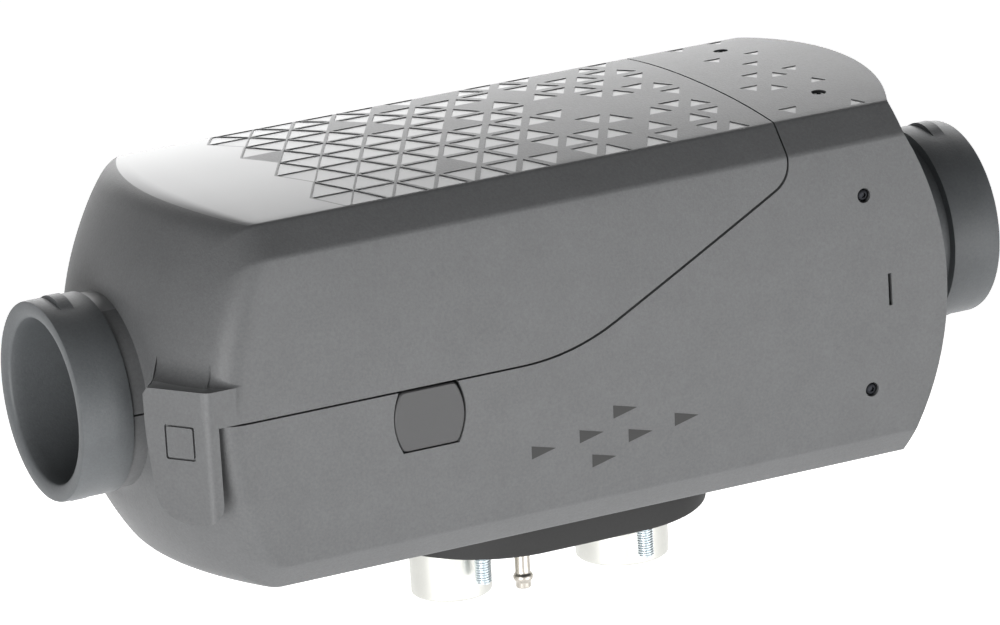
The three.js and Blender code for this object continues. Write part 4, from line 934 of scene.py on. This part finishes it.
def collar_pieces():
    """The intake collar, and the outlet hood with its own collar."""
    s = sizes()
    points, faces = collar(0.1275)
    intake = (points * [-1, 1, 1], [list(face)[::-1] for face in faces])
    build("intake_collar", intake, "collar", "intake_collar", ["inlet_connector"], sharp=30)

    outset = s.wall + 0.0003
    skins = []
    for inset in (outset, outset + 0.0022):
        ring = outline(inset, 0.0)[0]
        start_ring = np.column_stack([np.full(len(ring), 0.0988), ring])
        skins.append(np.concatenate([start_ring[None], dome(ring, inset)]))
    hood = wall(skins[0], skins[1], ring=True)
    build("outlet_hood_skin", joined(hood, collar(0.1265)), "collar", "hood", ["outlet_hood"], sharp=30)


def outlet_pieces():
    """The blanking plug on the near side and the cable grommet on the far side."""
    face = outlet_outline(0.0)
    outline_points = soften(face, 0.0012, 3)

    def plate_of(sign, depth, recess):
        rings = []
        for shrink, inwards in ((0.0004, 0.0), (0.0, 0.0004), (0.0, depth)):
            middle = outline_points.mean(axis=0)
            way = outline_points - middle
            ring = middle + way * (1 - shrink / np.linalg.norm(way, axis=1, keepdims=True))
            y = sign * (side_width(ring[:, 1]) - recess - inwards)
            rings.append(np.column_stack([ring[:, 0], y, ring[:, 1]]))
        return capped(np.stack(rings))

    build("blanking_plug_face", plate_of(-1, 0.0065, 0.0001), "plug", "plug", ["blanking_plug"])
    centre, bore = (OUTLET_X, -0.00965), 0.005
    ends = [(0.0487, bore), (0.0487, 0.0076), (0.056, 0.0079), (0.0586, 0.0074), (0.06, 0.0068), (0.06, bore)]
    boss = lathe(soften(ends, 0.0005), 64)
    boss = (boss[0][:, [1, 0, 2]] + [centre[0], 0, centre[1]], boss[1])
    plate_part = plate_of(1, 0.0065, 0.0001)
    through = hole("y", bore, 0.03, 0.08, centre)
    grommet = build("cable_grommet_face", plate_part, "rubber", "base", ["cable_grommet"], cutters=through)
    build("cable_grommet_boss", boss, "rubber", "base").parent = grommet.parent


def fastener_pieces():
    """The six casing screws and the four threaded studs."""
    head = soften(
        [
            (0.0004, 1e-5), (0.00042, 0.0009), (0.0006, 0.0016), (0.0009, 0.00195), (0.0013, 0.00195),
            (0.0013, 0.0014), (0.0072, 0.0014), (0.0073, 1e-5),
        ],
        0.0002,
    )
    angle = np.radians(np.arange(6) * 60)
    socket = prism(np.column_stack([np.cos(angle), np.sin(angle)]) * 0.0009, -0.001, 0.001, "x")
    for number, place in enumerate(screw_places(), 1):
        screw = towards(lathe(head, 40), *place)
        build(
            f"pan_head_screw_{number}", screw, "screw", "base", [f"casing_screw_{number}"],
            cutters=towards(socket, *place),
        )
    for number, (x, y) in enumerate(STUDS, 1):
        stud = threaded(x, y)
        build(f"threaded_stud_{number}", stud, "zinc", "base", [f"mounting_stud_{number}"], sharp=60)


def threaded(x, y):
    """A threaded rod: its radius falls by the thread's depth as |2 frac(z / pitch - angle / turn) - 1|, with
    the outer third of that taken off as a flat crest."""
    s = sizes()
    low, high = SEAL_FOOT - 0.0124, CASING_FOOT
    z = np.concatenate([[low], np.arange(low + 0.0003, high - 0.0001, s.thread_pitch / 6), [high]])
    angle = np.arange(24) / 24 * 2 * np.pi
    phase = (z[:, None] / s.thread_pitch - angle[None] / (2 * np.pi)) % 1
    fade = np.clip((z[:, None] - low) / 0.0008, 0, 1)
    radius = 0.0025 - 0.0006 * np.maximum(np.abs(2 * phase - 1) - 0.33, 0) - 0.0006 * (1 - fade)
    height = np.broadcast_to(z[:, None], radius.shape)
    return capped(np.stack([radius * np.cos(angle) + x, radius * np.sin(angle) + y, height], axis=-1))


def base_pieces():
    """The flange seal, the two pipe sockets and the fuel pipe."""
    angle = np.arange(160) / 160 * 2 * np.pi + np.pi / 160
    axis, rim, well, lip, floor = 0.00002, 0.037, 0.0323, -0.05535, -0.0634
    profile = soften(
        [(axis, SEAL_FOOT), (rim, SEAL_FOOT), (rim, lip), (well, lip), (well, floor), (axis, floor)],
        [0, 0.9e-3, 0.9e-3, 0.3e-3, 0.3e-3, 0],
        4,
    )
    centre = np.sign(np.cos(angle)) * 0.016 + 0.00575
    grid = np.stack(
        [
            centre + profile[:, :1] * np.cos(angle),
            profile[:, :1] * np.sin(angle),
            np.broadcast_to(profile[:, 1:], (len(profile), len(angle))),
        ],
        axis=-1,
    )
    places = [
        ((AIR_SOCKET_X, 0.0), AIR_SOCKET_RADIUS + PIPE_CLEARANCE),
        ((EXHAUST_SOCKET_X, 0.0), EXHAUST_SOCKET_RADIUS + PIPE_CLEARANCE),
        (FUEL_PLACE, FUEL_RADIUS + PIPE_CLEARANCE),
        *[(stud, 0.0025 + PIPE_CLEARANCE) for stud in STUDS],
    ]
    holes = [hole("z", radius, -0.07, -0.06, place) for place, radius in places]
    seal = closed_loops(grid)
    build("flange_seal_rubber", seal, "rubber", "base", ["flange_seal"], cutters=joined(*holes))

    for name, node, x, radius in (
        ("air_socket", "combustion_air_socket", AIR_SOCKET_X, AIR_SOCKET_RADIUS),
        ("exhaust_pipe_socket", "exhaust_socket", EXHAUST_SOCKET_X, EXHAUST_SOCKET_RADIUS),
    ):
        end, top, inner = -0.0854, CASING_FOOT, radius - 0.002
        corners = [(end, inner), (end, radius), (top, radius), (top, inner)]
        ring = soften(corners, [0.5e-3, 0.9e-3, 0.1e-3, 0.1e-3], 4)
        build(name, lathe(ring, 96, "z", (x, 0.0)), "cast_aluminium", "base", [node])

    end, top, radius, bore = -0.0866, CASING_FOOT, FUEL_RADIUS, 0.0013
    bead = radius + 0.0007
    pipe = soften(
        [
            (end, bore), (end, radius), (end + 0.002, radius), (end + 0.0028, bead),
            (end + 0.004, bead), (end + 0.0048, radius), (top, radius), (top, bore),
        ],
        0.0004,
        4,
    )
    build("fuel_stub", lathe(pipe, 40, "z", FUEL_PLACE), "steel", "base", ["fuel_pipe"])


def arrow_pieces():
    """The six triangular arrows that point along the air, printed on the near side."""
    places = [(13.2, -20.6), (33.6, -27.0), (1.6, -26.0), (17.9, -28.9), (-14.5, -27.8), (5.4, -34.3)]
    tips = np.array(places) / 1000
    crowned = 0.0022 * crown(tips[:, 1] / 0.0465)
    tips = tips + np.column_stack([-0.493 * crowned, 0.342 * crowned])
    sides = [[0, 1, 2], [5, 4, 3], [0, 3, 4, 1], [1, 4, 5, 2], [2, 5, 3, 0]]
    arrows = []
    for tip in tips:
        corners = np.array([tip, tip + [-0.008, 0.00205], tip + [-0.008, -0.00205]])
        y = -side_width(corners[:, 1])
        ends = [np.column_stack([corners[:, 0], y + lift, corners[:, 1]]) for lift in (-0.00008, 0.0004)]
        arrows.append((np.concatenate(ends), sides))
    build("printed_arrows", joined(*arrows), "marking", "base")


def inner_finishes():
    """Gives every CAD piece that stays in sight its own finish."""
    slots = {entry["node"]: entry["material_slot"] for entry in frame["record"]["subparts"]}
    for name, node in frame["nodes"].items():
        if node.hide_render:
            continue
        node.data.materials.clear()
        node.data.materials.append(MATERIALS[slots[name]])


# ------------------------------------------------------------------ stage


def stage_and_camera():
    """The pale floor, the white surroundings, the lamps and the camera."""
    scene = bpy.context.scene
    scene.view_settings.view_transform = "Standard"

    floor_mesh = bpy.data.meshes.new("floor")
    far, down = 6, -0.6
    corners = [(-far, -far, down), (far, -far, down), (far, far, down), (-far, far, down)]
    floor_mesh.from_pydata(corners, [], [(0, 1, 2, 3)])
    floor = bpy.data.objects.new("floor", floor_mesh)
    scene.collection.objects.link(floor)
    material, tree, shader, _ = start("painted_floor", colours().floor, 0.9)
    rays = add(tree, "ShaderNodeLightPath")
    pair = {0: rays.outputs["Is Camera Ray"], 1: rays.outputs["Is Glossy Ray"]}
    seen = add(tree, "ShaderNodeMath", pair, operation="MAXIMUM")
    glow = add(tree, "ShaderNodeMapRange", {"Value": seen.outputs["Value"], "To Min": 0.18, "To Max": 0.92})
    shader.inputs["Emission Color"].default_value = (1, 1, 1, 1)
    tree.links.new(glow.outputs["Result"], shader.inputs["Emission Strength"])
    floor_mesh.materials.append(material)

    world = bpy.data.worlds.new("surroundings")
    scene.world = world
    world.use_nodes = True
    tree = world.node_tree
    rays = add(tree, "ShaderNodeLightPath")
    way = add(tree, "ShaderNodeSeparateXYZ", {"Vector": add(tree, "ShaderNodeTexCoord").outputs["Generated"]})
    # Reflections see a white wall that darkens overhead, the camera sees white, and the rest gets little.
    rise = {"Value": way.outputs["Z"], "From Min": 0.1, "From Max": 0.6}
    wall_white = add(tree, "ShaderNodeMapRange", {**rise, "To Min": 1.0, "To Max": 0.15})
    pair = {0: rays.outputs["Is Glossy Ray"], 1: rays.outputs["Is Transmission Ray"]}
    shiny = add(tree, "ShaderNodeMath", pair, operation="MAXIMUM")
    seen = add(tree, "ShaderNodeMix", {0: shiny.outputs["Value"], 2: 0.1, 3: wall_white.outputs["Result"]})
    pair = {0: seen.outputs[0], 1: rays.outputs["Is Camera Ray"]}
    bright = add(tree, "ShaderNodeMath", pair, operation="MAXIMUM")
    tree.links.new(bright.outputs["Value"], tree.nodes["Background"].inputs["Strength"])
    tree.nodes["Background"].inputs["Color"].default_value = (1, 1, 1, 1)

    for name, place, aim, size, power in (
        ("back_softbox", (0.75, 1.5, 0.72), (0.0, 0.0, 0.1), (2.0, 1.5), 30.0),
        ("front_softbox", (0.6, -1.3, -0.32), (0.0, 0.0, 0.06), (1.3, 0.8), 10.5),
        ("left_softbox", (-1.2, -0.85, -0.08), (0.0, 0.0, 0.06), (0.8, 0.7), 15.0),
    ):
        lamp = bpy.data.lights.new(name, "AREA")
        lamp.shape, lamp.size, lamp.size_y, lamp.energy = "RECTANGLE", size[0], size[1], power
        holder = bpy.data.objects.new(name, lamp)
        back = np.array(place) - np.array(aim)
        back /= np.linalg.norm(back)
        side = np.cross([0, 0, 1], back)
        side /= np.linalg.norm(side)
        turn = Matrix(np.column_stack([side, np.cross(back, side), back]).tolist()).to_4x4()
        holder.matrix_world = Matrix.Translation(place) @ turn
        holder.visible_camera = False
        scene.collection.objects.link(holder)

    lens = bpy.data.cameras.new("camera")
    lens.lens, lens.sensor_width, lens.clip_end = 252.04, 36.0, 20.0
    camera = bpy.data.objects.new("camera", lens)
    right, up = (0.88768, -0.45694, -0.05684), (0.18270, 0.23621, 0.95438)
    back = (-0.42267, -0.85756, 0.29316)
    turn = Matrix(np.column_stack([right, up, back]).tolist()).to_4x4()
    camera.matrix_world = Matrix.Translation((-0.9004, -1.8107, 0.6839)) @ turn
    scene.collection.objects.link(camera)
    scene.camera = camera


# ------------------------------------------------------------------ operators and panel


class HEATER_OT_finishes(bpy.types.Operator):
    """Makes the materials of all the pieces"""

    bl_idname = "heater.finishes"
    bl_label = "Finishes"

    def execute(self, context):
        MATERIALS.update(make_materials())
        return {"FINISHED"}


class HEATER_OT_casing(bpy.types.Operator):
    """Builds the upper and the lower shell of the casing"""

    bl_idname = "heater.casing"
    bl_label = "Casing shells"

    def execute(self, context):
        casing_pieces()
        return {"FINISHED"}


class HEATER_OT_collars(bpy.types.Operator):
    """Builds the intake collar and the outlet hood"""

    bl_idname = "heater.collars"
    bl_label = "Collars and hood"

    def execute(self, context):
        collar_pieces()
        return {"FINISHED"}


class HEATER_OT_outlets(bpy.types.Operator):
    """Builds the blanking plug and the cable grommet"""

    bl_idname = "heater.outlets"
    bl_label = "Cable outlets"

    def execute(self, context):
        outlet_pieces()
        return {"FINISHED"}


class HEATER_OT_fasteners(bpy.types.Operator):
    """Builds the casing screws and the mounting studs"""

    bl_idname = "heater.fasteners"
    bl_label = "Screws and studs"

    def execute(self, context):
        fastener_pieces()
        return {"FINISHED"}


class HEATER_OT_base(bpy.types.Operator):
    """Builds the flange seal, the sockets and the fuel pipe"""

    bl_idname = "heater.base"
    bl_label = "Base"

    def execute(self, context):
        base_pieces()
        return {"FINISHED"}


class HEATER_OT_arrows(bpy.types.Operator):
    """Builds the printed arrows"""

    bl_idname = "heater.arrows"
    bl_label = "Arrows"

    def execute(self, context):
        arrow_pieces()
        return {"FINISHED"}


class HEATER_OT_inner(bpy.types.Operator):
    """Finishes the CAD pieces that stay in sight"""

    bl_idname = "heater.inner"
    bl_label = "Inner pieces"

    def execute(self, context):
        inner_finishes()
        return {"FINISHED"}


class HEATER_OT_stage(bpy.types.Operator):
    """Builds the floor, the lamps and the camera"""

    bl_idname = "heater.stage"
    bl_label = "Stage"

    def execute(self, context):
        stage_and_camera()
        return {"FINISHED"}


OPERATORS = [
    HEATER_OT_finishes,
    HEATER_OT_casing,
    HEATER_OT_collars,
    HEATER_OT_outlets,
    HEATER_OT_fasteners,
    HEATER_OT_base,
    HEATER_OT_arrows,
    HEATER_OT_inner,
    HEATER_OT_stage,
]


class HEATER_PT_panel(bpy.types.Panel):
    """Lists the builders and the sizes in the 3D view's sidebar"""

    bl_idname = "HEATER_PT_panel"
    bl_label = "Air heater"
    bl_space_type = "VIEW_3D"
    bl_region_type = "UI"
    bl_category = "Air heater"

    def draw(self, context):
        for cls in OPERATORS:
            self.layout.operator(cls.bl_idname)
        for group in (context.scene.heater_sizes, context.scene.heater_colours):
            for key in group.__annotations__:
                self.layout.prop(group, key)


CLASSES = [HeaterSizes, HeaterColours, *OPERATORS, HEATER_PT_panel]


def register():
    for cls in CLASSES:
        bpy.utils.register_class(cls)
    bpy.types.Scene.heater_sizes = PointerProperty(type=HeaterSizes)
    bpy.types.Scene.heater_colours = PointerProperty(type=HeaterColours)


def unregister():
    del bpy.types.Scene.heater_sizes
    del bpy.types.Scene.heater_colours
    for cls in reversed(CLASSES):
        bpy.utils.unregister_class(cls)


def main():
    register()
    for cls in OPERATORS:
        getattr(bpy.ops.heater, cls.bl_idname.split(".")[1])()


if __name__ == "__main__":
    main()
